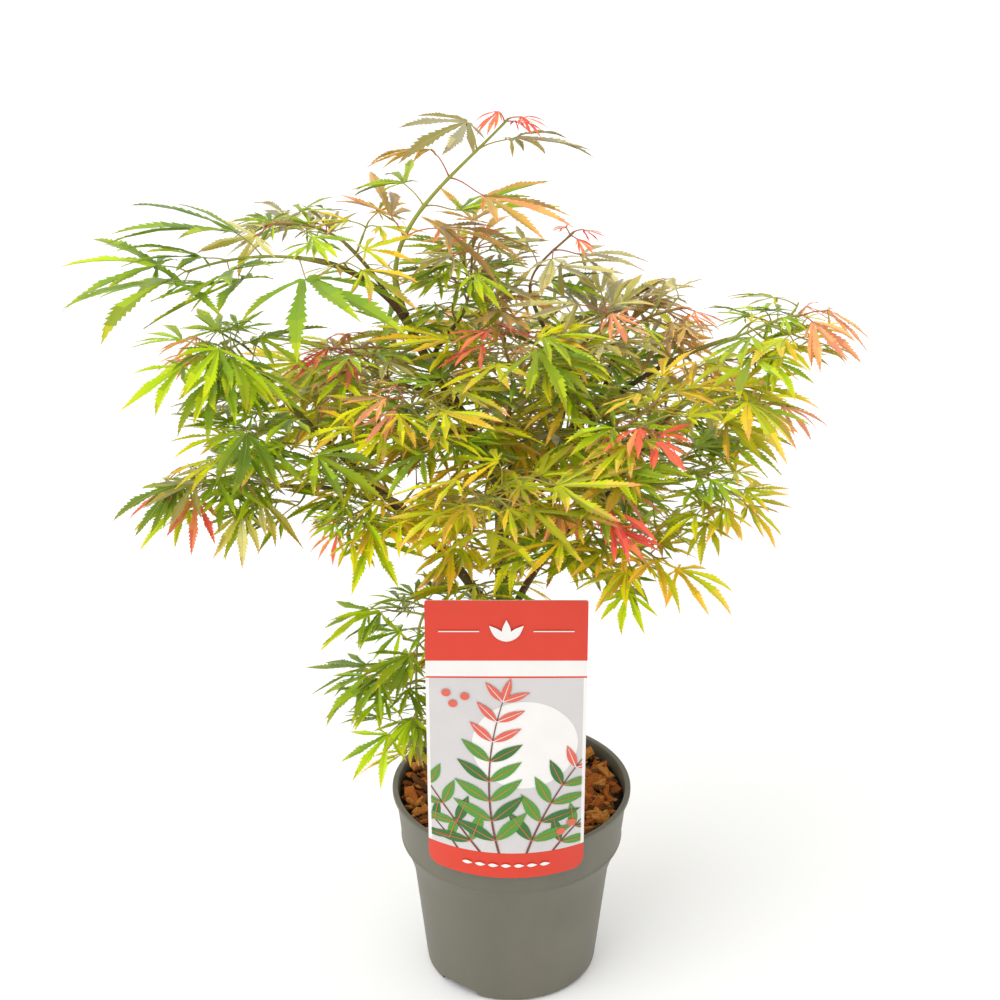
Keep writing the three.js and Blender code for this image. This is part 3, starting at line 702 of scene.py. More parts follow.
def drain_cutter(bearing):
    """The arch that a drain hole cuts out of the corner of the foot."""
    bm = bmesh.new()
    half, slant = DRAIN["width"] / 2, DRAIN["slant"]
    outline = [(-half, -1), (-half + slant, DRAIN["side"])]
    for step in range(1, 8):
        t = step / 8
        x = mix(-half + slant, half - slant, t)
        outline.append((x, mix(DRAIN["side"], DRAIN["crown"], 2 * t * (1 - t))))
    outline += [(half - slant, DRAIN["side"]), (half, -1)]
    near, far = POT["foot"] - DRAIN["depth"], POT["foot"] + DRAIN["past"]
    face = bm.faces.new([bm.verts.new((x, -near, z)) for x, z in outline])
    made = bmesh.ops.extrude_face_region(bm, geom=[face])["geom"]
    bmesh.ops.translate(bm, verts=verts_of(made), vec=(0, near - far, 0))
    bmesh.ops.rotate(bm, verts=bm.verts, matrix=Matrix.Rotation(radians(bearing + 90), 3, "Z"))
    bmesh.ops.scale(bm, verts=bm.verts, vec=(MM, MM, MM))
    bmesh.ops.recalc_face_normals(bm, faces=bm.faces)
    return put_in_scene("drain_cutter", mesh_from(bm, smooth=False))


def cut_from(mesh, cutters):
    """The mesh with each cutter taken out of it. The cutters are removed."""
    holder = put_in_scene("holder", mesh)
    for cutter in cutters:
        boolean = holder.modifiers.new("cut", "BOOLEAN")
        boolean.operation = "DIFFERENCE"
        boolean.solver = "EXACT"
        boolean.object = cutter
    bpy.context.view_layer.update()
    cut = bpy.data.meshes.new_from_object(holder.evaluated_get(bpy.context.evaluated_depsgraph_get()))
    for extra in [holder, *cutters]:
        bpy.data.objects.remove(extra)
    return cut


def pot_mesh(settings):
    """The pot's section turned round its axis, with rounded edges and its drain arches."""
    bm = bmesh.new()
    outline = pot_outline(settings.wall / MM)
    verts = [bm.verts.new((r * MM, 0, z * MM)) for r, z in outline]
    edges = [bm.edges.new(pair) for pair in zip(verts, verts[1:])]
    bmesh.ops.spin(bm, geom=verts + edges, axis=UP, angle=2 * pi, steps=settings.sides, use_merge=True)
    bmesh.ops.remove_doubles(bm, verts=bm.verts, dist=0.01 * MM)
    bmesh.ops.recalc_face_normals(bm, faces=bm.faces)
    rings = [e for e in bm.edges if e.is_manifold and e.calc_face_angle() > radians(24)]
    rings = [e for e in rings if abs(e.verts[0].co.z - e.verts[1].co.z) < 0.01 * MM]
    bmesh.ops.bevel(
        bm,
        geom=rings,
        affect="EDGES",
        offset=settings.edge,
        segments=3,
        profile=0.5,
        material=-1,
        clamp_overlap=True,
    )
    cut = cut_from(mesh_from(bm), [drain_cutter(bearing) for bearing in DRAIN["bearings"]])
    cut.set_sharp_from_angle(angle=radians(35))
    return cut


def pot_plastic(settings):
    """Matt moulded plastic with a fine orange-peel skin, flow marks and dry residue."""
    shader = Shader("pot_plastic", settings.plastic, 0.5, **{"Specular IOR Level": 0.35})
    flow = shader.noise(shader.place((1, 1, 0.35)), 22, detail=5, roughness=0.6, distortion=0.6)
    blotch = shader.noise(shader.place(), 9, detail=4)
    residue = shader.ramp(blotch, [(0.5, grey(0)), (0.78, grey(0.35))])
    dusted = shader.blend(residue, settings.plastic, settings.dust)
    streak = shader.ramp(flow, [(0.35, grey(0.86)), (0.65, grey(1.0))])
    shader.colour(shader.blend(0.8, dusted, streak, kind="MULTIPLY"))
    shader.rough(flow, 0.42, 0.58)
    peel = shader.noise(shader.place(), 900, detail=2)
    skin = shader.bump(peel, 0.12, 0.2 * MM)
    shader.bump(flow, 0.18, 0.6 * MM, below=skin)
    return shader.material


class MAPLE_OT_pot(bpy.types.Operator):
    """Make the nursery pot with its lip, band and drain arches"""

    bl_idname = "maple.pot"
    bl_label = "Pot"

    def execute(self, context):
        settings = context.scene.maple_pot
        mesh = pot_mesh(settings)
        mesh.materials.clear()
        add_piece("nursery_pot", mesh, [pot_plastic(settings)], ["pot"])
        return {"FINISHED"}


# --- Compost ---
# The medium, in millimetres: the depth of its surface under the chips' tops, the height of
# its foot over the solid's, its gap to the pot's outside, and the relief of its surface.
MEDIUM = {"depth": 3.5, "foot": 60, "gap": 2.6, "relief": 2.4}
MEDIUM_SIDES, MEDIUM_RINGS, RING_SHARE = 96, 7, 0.09
MEDIUM_TOP = COMPOST_HIGH.z - MEDIUM["depth"] * MM
# The chips: the seed of their forms and how many there are, their gap to the pot's outside
# and the bare ring round the trunk in millimetres, and their tilt and roll in degrees.
CHIP = {"seed": 1, "forms": 12, "gap": 3, "bare": 9, "tilt": 34, "roll": 30}


def compost_height(x, y):
    """Height of the medium's surface over its lowest, in metres."""
    return MEDIUM["relief"] * MM * (0.5 + noise.noise(Vector((x, y, 0)) * 90))


def inner_radius(z, gap):
    """Radius at a height, a gap in from the pot's outside, all but the gap in metres."""
    return pot_radius(z / MM) * MM - gap * MM


def compost_mesh():
    """The medium: an uneven round surface with a side and a foot inside the pot."""
    low = COMPOST_LOW.z + MEDIUM["foot"] * MM
    radius, foot_radius = inner_radius(MEDIUM_TOP, MEDIUM["gap"]), inner_radius(low, MEDIUM["gap"])
    bm = bmesh.new()
    bmesh.ops.create_circle(bm, cap_ends=True, segments=MEDIUM_SIDES, radius=radius)
    face = bm.faces[:][0]
    for _ in range(MEDIUM_RINGS):
        bmesh.ops.inset_region(bm, faces=[face], thickness=RING_SHARE * COMPOST_HIGH.x)
    bmesh.ops.triangulate(bm, faces=[face])
    bmesh.ops.translate(bm, verts=bm.verts, vec=(0, 0, MEDIUM_TOP))
    for v in bm.verts:
        v.co.z += compost_height(v.co.x, v.co.y)
    rim = [e for e in bm.edges if e.is_boundary]
    made = bmesh.ops.extrude_edge_only(bm, edges=rim)["geom"]
    for v in verts_of(made):
        v.co *= foot_radius / hypot(v.co.x, v.co.y)
        v.co.z = low
    base = [e for e in bm.edges if e.is_boundary]
    bmesh.ops.contextual_create(bm, geom=base)
    bmesh.ops.recalc_face_normals(bm, faces=bm.faces)
    return mesh_from(bm)


def chip_shape(seed):
    """One bark chip of unit length: a split slab with broken ends, from a bevelled block."""
    bm = bmesh.new()
    bmesh.ops.create_cube(bm, size=1)
    long_edges = [e for e in bm.edges if abs(e.verts[0].co.x - e.verts[1].co.x) > 0.5]
    bmesh.ops.subdivide_edges(bm, edges=long_edges, cuts=2, use_grid_fill=True)
    width, thickness = mix(0.35, 0.7, chance(seed, 1)), mix(0.14, 0.3, chance(seed, 2))
    bmesh.ops.scale(bm, verts=bm.verts, vec=(1, width, thickness))
    bmesh.ops.bevel(
        bm,
        geom=[e for e in bm.edges if e.calc_face_angle(0) > radians(40)],
        affect="EDGES",
        offset=0.035,
        segments=1,
        profile=0.5,
        material=-1,
    )
    for v in bm.verts:
        jitter = noise.noise_vector(v.co * 2.7 + Vector((seed * 7.1, 0, 0)))
        v.co += Vector((jitter.x * 0.16, jitter.y * 0.14, jitter.z * 0.09))
        v.co.z += 0.16 * spread(seed, 3) * v.co.x**2
        v.co.y *= 1 - 0.5 * abs(v.co.x) * chance(seed, 4)
    bmesh.ops.recalc_face_normals(bm, faces=bm.faces)
    points = np.array([v.co[:] for v in bm.verts])
    faces = [[v.index for v in face.verts] for face in bm.faces]
    bm.free()
    return points, *corners_and_counts(faces)


def chips_mesh(settings):
    """The chips strewn over the medium, flat-shaded, in three tints."""
    # noise_vector takes its offset from the clock unless it is given a seed.
    noise.seed_set(CHIP["seed"])
    shapes = [chip_shape(seed) for seed in range(CHIP["forms"])]
    parts = []
    for n in range(settings.chips):
        points, corners, counts = shapes[n % len(shapes)]
        length = mix(settings.shortest, settings.longest, chance(n, 1) ** 1.8)
        widest = inner_radius(MEDIUM_TOP, CHIP["gap"]) - 0.46 * length
        reach = widest * sqrt(chance(n, 2))
        bearing = 2 * pi * chance(n, 3)
        if reach < CHIP["bare"] * MM + 0.4 * length:
            continue
        tilt = radians(CHIP["tilt"]) * spread(n, 4)
        turn = Matrix.Rotation(2 * pi * chance(n, 6), 3, "Z") @ Matrix.Rotation(tilt, 3, "Y")
        turn = turn @ Matrix.Rotation(radians(CHIP["roll"]) * spread(n, 5), 3, "X")
        x, y = reach * cos(bearing), reach * sin(bearing)
        lift = (0.6 + 3.4 * chance(n, 7)) * MM + 0.5 * length * abs(sin(tilt)) * 0.6
        place = np.array([x, y, MEDIUM_TOP + compost_height(x, y) + lift])
        turned = points * length @ np.array(turn).T + place
        slot = min(2, int(3 * chance(n, 8) ** 1.2))
        parts.append((turned, corners, counts, np.full(len(counts), slot)))
    mesh = join_arrays(parts)
    mesh.polygons.foreach_set("use_smooth", np.zeros(len(mesh.polygons), bool))
    return mesh


def medium_material(settings):
    shader = Shader("growing_medium", settings.soil, 0.95)
    grain = shader.noise(shader.place(), 260, detail=6, roughness=0.7)
    shader.colour(shader.ramp(grain, [(0.35, mixed(settings.soil, BLACK, 0.5)), (0.7, settings.soil)]))
    shader.bump(grain, 0.9, 1.5 * MM)
    return shader.material


def chip_material(name, colour):
    """Split bark with a grain, with painted shade in the hollows of its fibres."""
    shader = Shader(name, colour, 0.85, **{"Specular IOR Level": 0.08})
    grain = shader.noise(shader.place((1, 1, 3)), 240, detail=5, roughness=0.65, distortion=1.2)
    patch = shader.noise(shader.place(), 60, detail=2)
    # dark is painted shade: the colour is darkened where the grain is low, which is where its bump sinks into
    # hollows.
    dark, pale = mixed(colour, BLACK, 0.65), mixed(colour, (1, 0.6, 0.2), 0.16)
    shader.colour(shader.blend(patch, shader.ramp(grain, [(0.36, dark), (0.56, colour)]), pale))
    shader.rough(grain, 0.7, 0.95)
    shader.bump(grain, 0.7, 0.8 * MM)
    return shader.material


class MAPLE_OT_compost(bpy.types.Operator):
    """Fill the pot with its medium and strew the bark chips"""

    bl_idname = "maple.compost"
    bl_label = "Compost"

    def execute(self, context):
        settings = context.scene.maple_compost
        add_piece("growing_medium", compost_mesh(), [medium_material(settings)], ["compost"])
        chips = [
            chip_material("bark_chip", settings.chip),
            chip_material("dark_bark_chip", settings.dark_chip),
            chip_material("pale_bark_chip", settings.pale_chip),
        ]
        add_piece("bark_chips", chips_mesh(settings), chips, ["compost"])
        return {"FINISHED"}


# --- Plant card ---
# Places on the card are in millimetres: across from its middle, and up from the ground.
CARD = {
    "width": 120,
    "top": 398,
    "foot": 143,
    "aside": -4.5,  # from the pot's axis
    "lean": 3,  # degrees
    "bend": 97,  # radius of the bend at its foot
    "flat_from": 0.75,  # share of its height from which it is flat
    "clipped": 1.2,  # off its upper corners
    "middle": 0.4,  # from its back to the middle of its thickness
    "columns": 48,
    "rows": 26,
}
HOOK = {
    "drop": 10,
    "slant": 1.5,
    "rim_sides": 32,  # of the solid's lip, which it clears
    "wall": 2.2,
    "columns": 12,
    "thinner": 0.9,  # share of the card's thickness
    "behind": 0.1,
}
GAP = 0.3  # between the card and the pot
INKS = ("band", "paper", "panel", "leaf", "young_leaf", "stem", "deep_leaf")
BAND, PAPER, PANEL, LEAF, YOUNG, STEM, DEEP = range(len(INKS))
PRINT = {
    "band": 345,  # foot of the top band
    "strip": 331,  # foot of the white strip
    "line": 329.4,  # foot of the thin line under it
    "foot_band": 166,  # top of the band at the foot
    "margin": 2.5,  # white edge beside the panel
}
LIFT = 0.12  # of each printed layer over the one below, in millimetres
STEP = 0.012  # of each shape in a layer over the one before, in rounds of eight


def on_card(x, z, lift):
    """A place of the card's print as a point in metres. lift is how far it stands in front
    of the middle of the card."""
    share = (z - CARD["foot"]) / (CARD["top"] - CARD["foot"])
    x += CARD["aside"]
    outer = CARD["bend"] + GAP + CARD["middle"]
    forward = outer + tan(radians(CARD["lean"])) * max(0, z - POT_TOP / MM)
    bend = CARD["bend"] - sqrt(CARD["bend"] ** 2 - x**2)
    curl = max(0, 1 - share / CARD["flat_from"]) * bend
    return Vector((x, curl - forward - lift, z)) * MM


def lay_on_card(bm, lift):
    """Moves a flat shape of the print to its place on the bent card."""
    for v in bm.verts:
        v.co = on_card(v.co.x, v.co.y, lift)


def cut_at(bm, place, normal, **options):
    """Cuts a flat shape along the line through a place, square to a direction."""
    geom = bm.verts[:] + bm.edges[:] + bm.faces[:]
    bmesh.ops.bisect_plane(bm, geom=geom, dist=1e-4, plane_co=(*place, 0), plane_no=(*normal, 0), **options)


def cut_fine(bm):
    """Cuts a flat shape by lines a few millimetres apart, so that it can bend."""
    for n in range(1, CARD["columns"]):
        cut_at(bm, (CARD["width"] * (n / CARD["columns"] - 0.5), 0), (1, 0))
    for n in range(1, CARD["rows"]):
        cut_at(bm, (0, mix(CARD["foot"], CARD["top"], n / CARD["rows"])), (0, 1))


def clip_to_panel(bm):
    """Takes off what a printed shape has outside the picture panel."""
    half = CARD["width"] / 2 - PRINT["margin"]
    for place, normal in (
        ((half, 0), (1, 0)),
        ((-half, 0), (-1, 0)),
        ((0, PRINT["line"]), (0, 1)),
        ((0, PRINT["foot_band"]), (0, -1)),
    ):
        cut_at(bm, place, normal, clear_outer=True)


def card_face(corner):
    """The flat card with its lower corners rounded."""
    half, top, foot, clipped = CARD["width"] / 2, CARD["top"], CARD["foot"], CARD["clipped"]
    bm = bmesh.new()
    outline = [(half, top - clipped), (half - clipped, top), (clipped - half, top), (-half, top - clipped)]
    for a in range(0, 91, 10):
        outline.append((-half + corner * (1 - cos(radians(a))), foot + corner * (1 - sin(radians(a)))))
    for a in range(90, -1, -10):
        outline.append((half - corner * (1 - cos(radians(a))), foot + corner * (1 - sin(radians(a)))))
    bm.faces.new([bm.verts.new((x, z, 0)) for x, z in outline])
    return bm


def print_ground(bm):
    """Cuts the card's face along the edges of its bands and gives each part its ink."""
    half = CARD["width"] / 2 - PRINT["margin"]
    for height in (PRINT["band"], PRINT["strip"], PRINT["line"], PRINT["foot_band"]):
        cut_at(bm, (0, height), (0, 1))
    for side in (-half, half):
        cut_at(bm, (side, 0), (1, 0))
    for face in bm.faces:
        x, z = face.calc_center_median()[:2]
        if z > PRINT["band"] or PRINT["line"] < z < PRINT["strip"] or z < PRINT["foot_band"]:
            face.material_index = BAND
        else:
            face.material_index = PAPER if z > PRINT["strip"] or abs(x) > half else PANEL


def card_sheet(settings):
    """The card: its printed face, laid in its bend, and a plain white back and edge."""
    bm = card_face(settings.corner / MM)
    print_ground(bm)
    cut_fine(bm)
    lay_on_card(bm, 0.5 * settings.thickness / MM)
    front = bm.faces[:]
    made = bmesh.ops.extrude_face_region(bm, geom=front, use_keep_orig=True)["geom"]
    bmesh.ops.translate(bm, verts=verts_of(made), vec=(0, settings.thickness, 0))
    for face in bm.faces:
        if face not in front:
            face.material_index = PAPER
    bmesh.ops.recalc_face_normals(bm, faces=bm.faces)
    return bm


def hook_sheet(settings):
    """The tongue behind the card: level over the lip and down inside it."""
    rim, thickness = POT_TOP / MM, settings.thickness / MM
    half_strap = settings.strap / MM / 2
    outer = CARD["bend"] + GAP + thickness / 2
    inside = (POT["rim"] - POT["lip"] - HOOK["wall"]) * cos(pi / HOOK["rim_sides"])
    back = sqrt(inside**2 - (half_strap + abs(CARD["aside"])) ** 2) - GAP
    over, low = rim + GAP + thickness / 2, rim - HOOK["drop"]
    path = [(-outer, over), (-back + thickness / 2, over), (-back + HOOK["slant"] + thickness / 2, low)]
    bm = bmesh.new()
    left = (CARD["aside"] - half_strap) * MM
    verts = [bm.verts.new((left, y * MM, z * MM)) for y, z in path]
    edges = [bm.edges.new(pair) for pair in zip(verts, verts[1:])]
    made = bmesh.ops.extrude_edge_only(bm, edges=edges)["geom"]
    bmesh.ops.translate(bm, verts=verts_of(made), vec=(settings.strap, 0, 0))
    for n in range(1, HOOK["columns"]):
        geom = bm.verts[:] + bm.edges[:] + bm.faces[:]
        place = (left + n / HOOK["columns"] * settings.strap, 0, 0)
        bmesh.ops.bisect_plane(bm, geom=geom, dist=1e-6, plane_co=place, plane_no=(1, 0, 0))
    for v in bm.verts:
        if v.co.y < (1 - outer) * MM:
            v.co.y = on_card(v.co.x / MM - CARD["aside"], over, -HOOK["behind"]).y
    thick = HOOK["thinner"] * settings.thickness
    bmesh.ops.solidify(bm, geom=bm.faces[:], thickness=thick)
    bmesh.ops.translate(bm, verts=bm.verts, vec=(0, 0, -thick / 2))
    bmesh.ops.recalc_face_normals(bm, faces=bm.faces)
    for face in bm.faces:
        face.material_index = PAPER
    return bm


def flat_shape(outline, ink):
    """A printed shape of one face."""
    bm = bmesh.new()
    bm.faces.new([bm.verts.new((x, z, 0)) for x, z in outline]).material_index = ink
    return bm


def lance_leaf(foot, bearing, length, half, ink):
    """A plain lance-shaped leaf that points to a bearing from straight up."""
    right = [(half * sin(pi * (n / 9) ** 0.85), length * n / 9) for n in range(1, 9)]
    outline = [(0, 0), *right, (0, length), *((-x, z) for x, z in reversed(right))]
    bm = flat_shape(outline, ink)
    bmesh.ops.rotate(bm, verts=bm.verts, matrix=Matrix.Rotation(radians(-bearing), 3, "Z"))
    bmesh.ops.translate(bm, verts=bm.verts, vec=(*foot, 0))
    return bm


def stem_line(points, widths, ink):
    """A printed stem: a short edge drawn out from point to point."""
    bm = bmesh.new()
    points = [Vector((*point, 0)) for point in points]
    edges = None
    for n, (point, width) in enumerate(zip(points, widths)):
        run = (points[min(n + 1, len(points) - 1)] - points[max(n - 1, 0)]).normalized()
        side = Vector((run.y, -run.x, 0)) * width / 2
        if edges is None:
            verts = [bm.verts.new(point - side), bm.verts.new(point + side)]
            edges = [bm.edges.new(verts)]
            continue
        made = bmesh.ops.extrude_edge_only(bm, edges=edges)["geom"]
        edges = edges_of(made)
        moved = sorted(verts_of(made), key=lambda v: (v.co - points[n - 1]).dot(side))
        for v, place in zip(moved, (point - side, point + side)):
            v.co = place
    for face in bm.faces:
        face.material_index = ink
    return bm


def disc(centre, radius, ink, sides):
    bm = bmesh.new()
    bmesh.ops.create_circle(bm, cap_ends=True, segments=sides, radius=radius)
    bmesh.ops.translate(bm, verts=bm.verts, vec=(*centre, 0))
    for face in bm.faces:
        face.material_index = ink
    return bm


# The print's pale disc and berries, and its arching sprays: foot, bearing at the foot, how
# far it bends over, length, pairs of leaves, leaf length, and how many pairs from the tip
# on are young.
DISC = {"centre": (14, 268), "radius": 40}
BERRIES = {"radius": 3.4, "centres": ((-40, 306), (-31, 313), (-45, 316), (42, 184), (50, 191))}
SPRAYS = (
    ((-4, 160), -14, 30, 150, 8, 38, 3),
    ((14, 160), 16, 22, 112, 6, 36, 2),
    ((-16, 160), -36, 6, 96, 5, 34, 1),
    ((32, 160), 34, 20, 66, 4, 30, 0),
    ((-34, 160), -30, -20, 54, 3, 28, 0),
)


def printed_spray(foot, bearing, bend, length, pairs, leaf, young):
    """The stem and the leaves of one spray, then the ribs that go over them."""
    point, points, headings = Vector(foot), [], []
    steps = 4 * pairs
    for n in range(steps + 1):
        heading = radians(bearing + bend * n / steps)
        points.append(point.copy())
        headings.append(degrees(heading))
        point += Vector((sin(heading), cos(heading))) * length / steps
    shapes = [stem_line(points, [mix(1.8, 0.7, n / steps) for n in range(steps + 1)], STEM)]
    ribs = []
    for pair in range(1, pairs + 1):
        is_young = pair > pairs - young
        size = leaf * (1 - 0.35 * pair / pairs) * (0.9 if is_young else 1)
        place, heading = points[4 * pair], headings[4 * pair]
        for hand in (-1, 1) if pair < pairs else (-1, 0, 1):
            ink = YOUNG if is_young else (DEEP if (pair + hand) % 3 == 0 else LEAF)
            aim = heading + 52 * hand
            shapes.append(lance_leaf(place, aim, size, 0.15 * size, ink))
            end = place + Vector((sin(radians(aim)), cos(radians(aim)))) * 0.86 * size
            ribs.append(stem_line([place, end], (0.7, 0.3), PAPER if is_young else YOUNG))
    return shapes, ribs


def printed_layers():
    """The print over the card's ground, from the lowest layer up."""
    yield [disc(DISC["centre"], DISC["radius"], PAPER, 72)]
    sprays = [printed_spray(*spray) for spray in SPRAYS]
    for shapes, ribs in reversed(sprays):
        yield shapes
    yield [rib for _, ribs in sprays for rib in ribs]
    yield [disc(centre, BERRIES["radius"], YOUNG, 24) for centre in BERRIES["centres"]]


def band_ornaments():
    """Plain white leaves on the two bands, with a thin rule to each side of the upper ones."""
    middle = (PRINT["band"] + CARD["top"]) / 2
    yield from (lance_leaf((0, middle - 9), turn, 19, 3.4, PAPER) for turn in (-42, 0, 42))
    for hand in (-1, 1):
        yield stem_line([(hand * 20, middle), (hand * 50, middle)], (0.9, 0.9), PAPER)
    low = (CARD["foot"] + PRINT["foot_band"]) / 2 + 0.5
    for n in range(-3, 4):
        yield lance_leaf((10 * n - 4, low), 90, 8, 1.6, PAPER)


def card_mesh(settings):
    """The card, its hook and its print, whose layers stand a little before one another."""
    half = 0.5 * settings.thickness / MM
    whole = bmesh.new()
    add_to(whole, card_sheet(settings))
    add_to(whole, hook_sheet(settings))
    layers = []
    for shapes in printed_layers():
        for bm in shapes:
            clip_to_panel(bm)
        layers.append(shapes)
    layers.append(list(band_ornaments()))
    for layer, shapes in enumerate(layers):
        for n, bm in enumerate(shapes):
            cut_fine(bm)
            lay_on_card(bm, half + LIFT * (layer + 1) + STEP * (n % 8))
            turn_faces(bm, Vector((0, -1, 0)))
            add_to(whole, bm)
    return mesh_from(whole, smooth=False)


def printed_card(name, colour):
    """Laminated card: ink with a faint mottle under a thin gloss that isn't quite flat."""
    values = {"Coat Weight": 0.3, "Coat Roughness": 0.2, "Specular IOR Level": 0.3}
    shader = Shader(name, colour, 0.5, **values)
    mottle = shader.noise(shader.place(), 35, detail=3)
    shader.colour(shader.ramp(mottle, [(0.3, mixed(colour, BLACK, 0.05)), (0.7, colour)]))
    shader.rough(mottle, 0.42, 0.55)
    shader.bump(mottle, 0.1, 0.5 * MM)
    return shader.material


class MAPLE_OT_card(bpy.types.Operator):
    """Make the plant card with its generic print and the hook behind it"""

    bl_idname = "maple.card"
    bl_label = "Plant card"

    def execute(self, context):
        settings = context.scene.maple_card
        materials = [printed_card("card_" + ink, getattr(settings, ink)) for ink in INKS]
        add_piece("plant_card_print", card_mesh(settings), materials, ["plant_card"])
        return {"FINISHED"}


# --- Trunk and boughs ---
COLLAR_LENGTH = 7 * MM  # over which the swelling at a bough's foot dies away
NODE_WIDTH, SCAR_WIDTH = 2.2 * MM, 0.5 * MM


class Limb:
    """A trunk or bough: its curve, and its radius at each share of its length."""

    def __init__(self, curve, radii, swell=0, swell_share=0.1):
        self.curve, self.radii, self.swell, self.swell_share = curve, radii, swell, swell_share

    def radius(self, share):
        foot = max(0, 1 - share / self.swell_share) ** 2
        return mix(*self.radii, share) * MM * (1 + self.swell * foot)


def grow_limbs():
    """Every limb's curve by the rule that the solids follow."""
    foot = Vector((0, 0, TRUNK_FOOT))
    curve = Curve(foot, UP, polar(TRUNK["fork"]), UP, 0.4)
    limbs = {"trunk": Limb(curve, TRUNK["radii"], TRUNK["flare"] - 1, TRUNK["flare_share"])}
    for name, (parent, share, tip, radii, rise) in BOUGHS.items():
        stem = limbs[parent].curve
        start, leaving = stem.at(share), stem.along(share)
        along = (polar(tip) - start).normalized()
        if share < 1:
            leaving = leaving + along
        curve = Curve(start, leaving, polar(tip), along + UP * rise, 0.35)
        limbs[name] = Limb(curve, radii)
    return limbs


def ring_frames(curve, count):
    """Places and turned frames along a curve, with no twist from one to the next."""
    shares = [n / (count - 1) for n in range(count)]
    tangents = [curve.along(share) for share in shares]
    side = tangents[0].orthogonal().normalized()
    for share, tangent in zip(shares, tangents):
        side = (side - tangent * side.dot(tangent)).normalized()
        over = tangent.cross(side)
        frame_matrix = Matrix((side, over, tangent)).transposed().to_4x4()
        frame_matrix.translation = curve.at(share)
        yield share, frame_matrix


def bark_relief(settings, limb, name_key, share, angle):
    """How far the bark stands out at a place on a limb, as a share of its radius: long
    ridges, small knobs, and a swollen ring with a scar groove at each old node."""
    along = share * limb.curve.length
    ridge = noise.noise(Vector((cos(angle) * 2.2, sin(angle) * 2.2, along * 60 + name_key)))
    fine = noise.noise(Vector((cos(angle) * 5, sin(angle) * 5, along * 260 + name_key)))
    offset = (along / settings.joint + name_key * 0.37) % 1 - 0.5
    distance = abs(offset) * settings.joint
    ring = 0.16 * exp(-((distance / NODE_WIDTH) ** 2)) - 0.1 * exp(-((distance / SCAR_WIDTH) ** 2))
    return settings.relief * (ridge + 0.5 * fine) + ring


def limb_mesh(settings, limb, name_key, collar):
    """A limb drawn out ring by ring from a circle at its foot."""
    count = max(8, int(limb.curve.length / settings.ring) + 1)
    bm = bmesh.new()
    young = bm.verts.layers.float.new("young")
    before, edges = None, None
    for share, place in ring_frames(limb.curve, count):
        grown = limb.radius(share) * (1 + collar * exp(-share * limb.curve.length / COLLAR_LENGTH))
        if before is None:
            verts = bmesh.ops.create_circle(bm, segments=settings.sides, radius=grown, matrix=place)["verts"]
            edges = bm.edges[:]
        else:
            made = bmesh.ops.extrude_edge_only(bm, edges=edges)["geom"]
            verts, edges = verts_of(made), edges_of(made)
            bmesh.ops.transform(bm, matrix=place @ before.inverted(), verts=verts)
        centre = place.translation
        inverse = place.inverted()
        for v in verts:
            local = inverse @ v.co
            angle = atan2(local.y, local.x)
            reach = grown * (1 + bark_relief(settings, limb, name_key, share, angle))
            v.co = centre + (place.to_3x3() @ Vector((cos(angle), sin(angle), 0))) * reach
            v[young] = share
        before = place
    bmesh.ops.holes_fill(bm, edges=[e for e in bm.edges if e.is_boundary])
    bmesh.ops.recalc_face_normals(bm, faces=bm.faces)
    return mesh_from(bm)


def joined(meshes):
    """One mesh of several, which are removed."""
    whole = bmesh.new()
    for mesh in meshes:
        whole.from_mesh(mesh)
        bpy.data.meshes.remove(mesh)
    return mesh_from(whole)


def bark_material(name, old, green, young=None):
    """Smooth maple bark: an old colour with a green cast in patches, fine cracks along the
    limb and pale breathing pores. A bough turns to its young colour towards its tip."""
    shader = Shader(name, old, 0.75, **{"Specular IOR Level": 0.3})
    patch = shader.noise(shader.place((1, 1, 0.4)), 45, detail=4, distortion=0.5)
    colour = shader.ramp(patch, [(0.38, old), (0.62, green)])
    if young is not None:
        share = shader.node("ShaderNodeAttribute", attribute_name="young").outputs["Fac"]
        turned = shader.ramp(share, [(0.6, grey(0)), (1.0, grey(1))])
        colour = shader.blend(turned, colour, young)
    streak = shader.noise(shader.place((1, 1, 0.12)), 620, detail=4, roughness=0.7)
    cracks = shader.ramp(streak, [(0.36, grey(0.55)), (0.5, grey(1))])
    colour = shader.blend(0.7, colour, cracks, kind="MULTIPLY")
    pores = shader.node("ShaderNodeTexVoronoi", {"Vector": shader.place((1, 1, 1.6)), "Scale": 190})
    spots = shader.ramp(pores.outputs["Distance"], [(0.09, grey(1)), (0.16, grey(0))])
    shader.colour(shader.blend(spots, colour, mixed(old, (0.8, 0.7, 0.5), 0.4)))
    shader.rough(streak, 0.6, 0.85)
    pore_bump = shader.bump(spots, 0.3, 0.3 * MM)
    shader.bump(streak, 0.5, 0.5 * MM, below=pore_bump)
    return shader.material


class MAPLE_OT_wood(bpy.types.Operator):
    """Grow the trunk and the boughs with the relief of their bark"""

    bl_idname = "maple.wood"
    bl_label = "Trunk and boughs"

    def execute(self, context):
        settings = context.scene.maple_wood
        limbs = grow_limbs()
        trunk = limb_mesh(settings, limbs["trunk"], 0, 0)
        bark = bark_material("trunk_bark", settings.old_bark, settings.moss)
        add_piece("trunk_with_bark", trunk, [bark], ["trunk"])
        boughs = [
            limb_mesh(settings, limbs[name], key + 1, settings.collar if share < 1 else 0)
            for key, (name, (_, share, *_)) in enumerate(BOUGHS.items())
        ]
        bark = bark_material("bough_bark", settings.brown_bark, settings.old_bark, settings.young_bark)
        add_piece("boughs_with_bark", joined(boughs), [bark], list(BOUGHS))
        return {"FINISHED"}


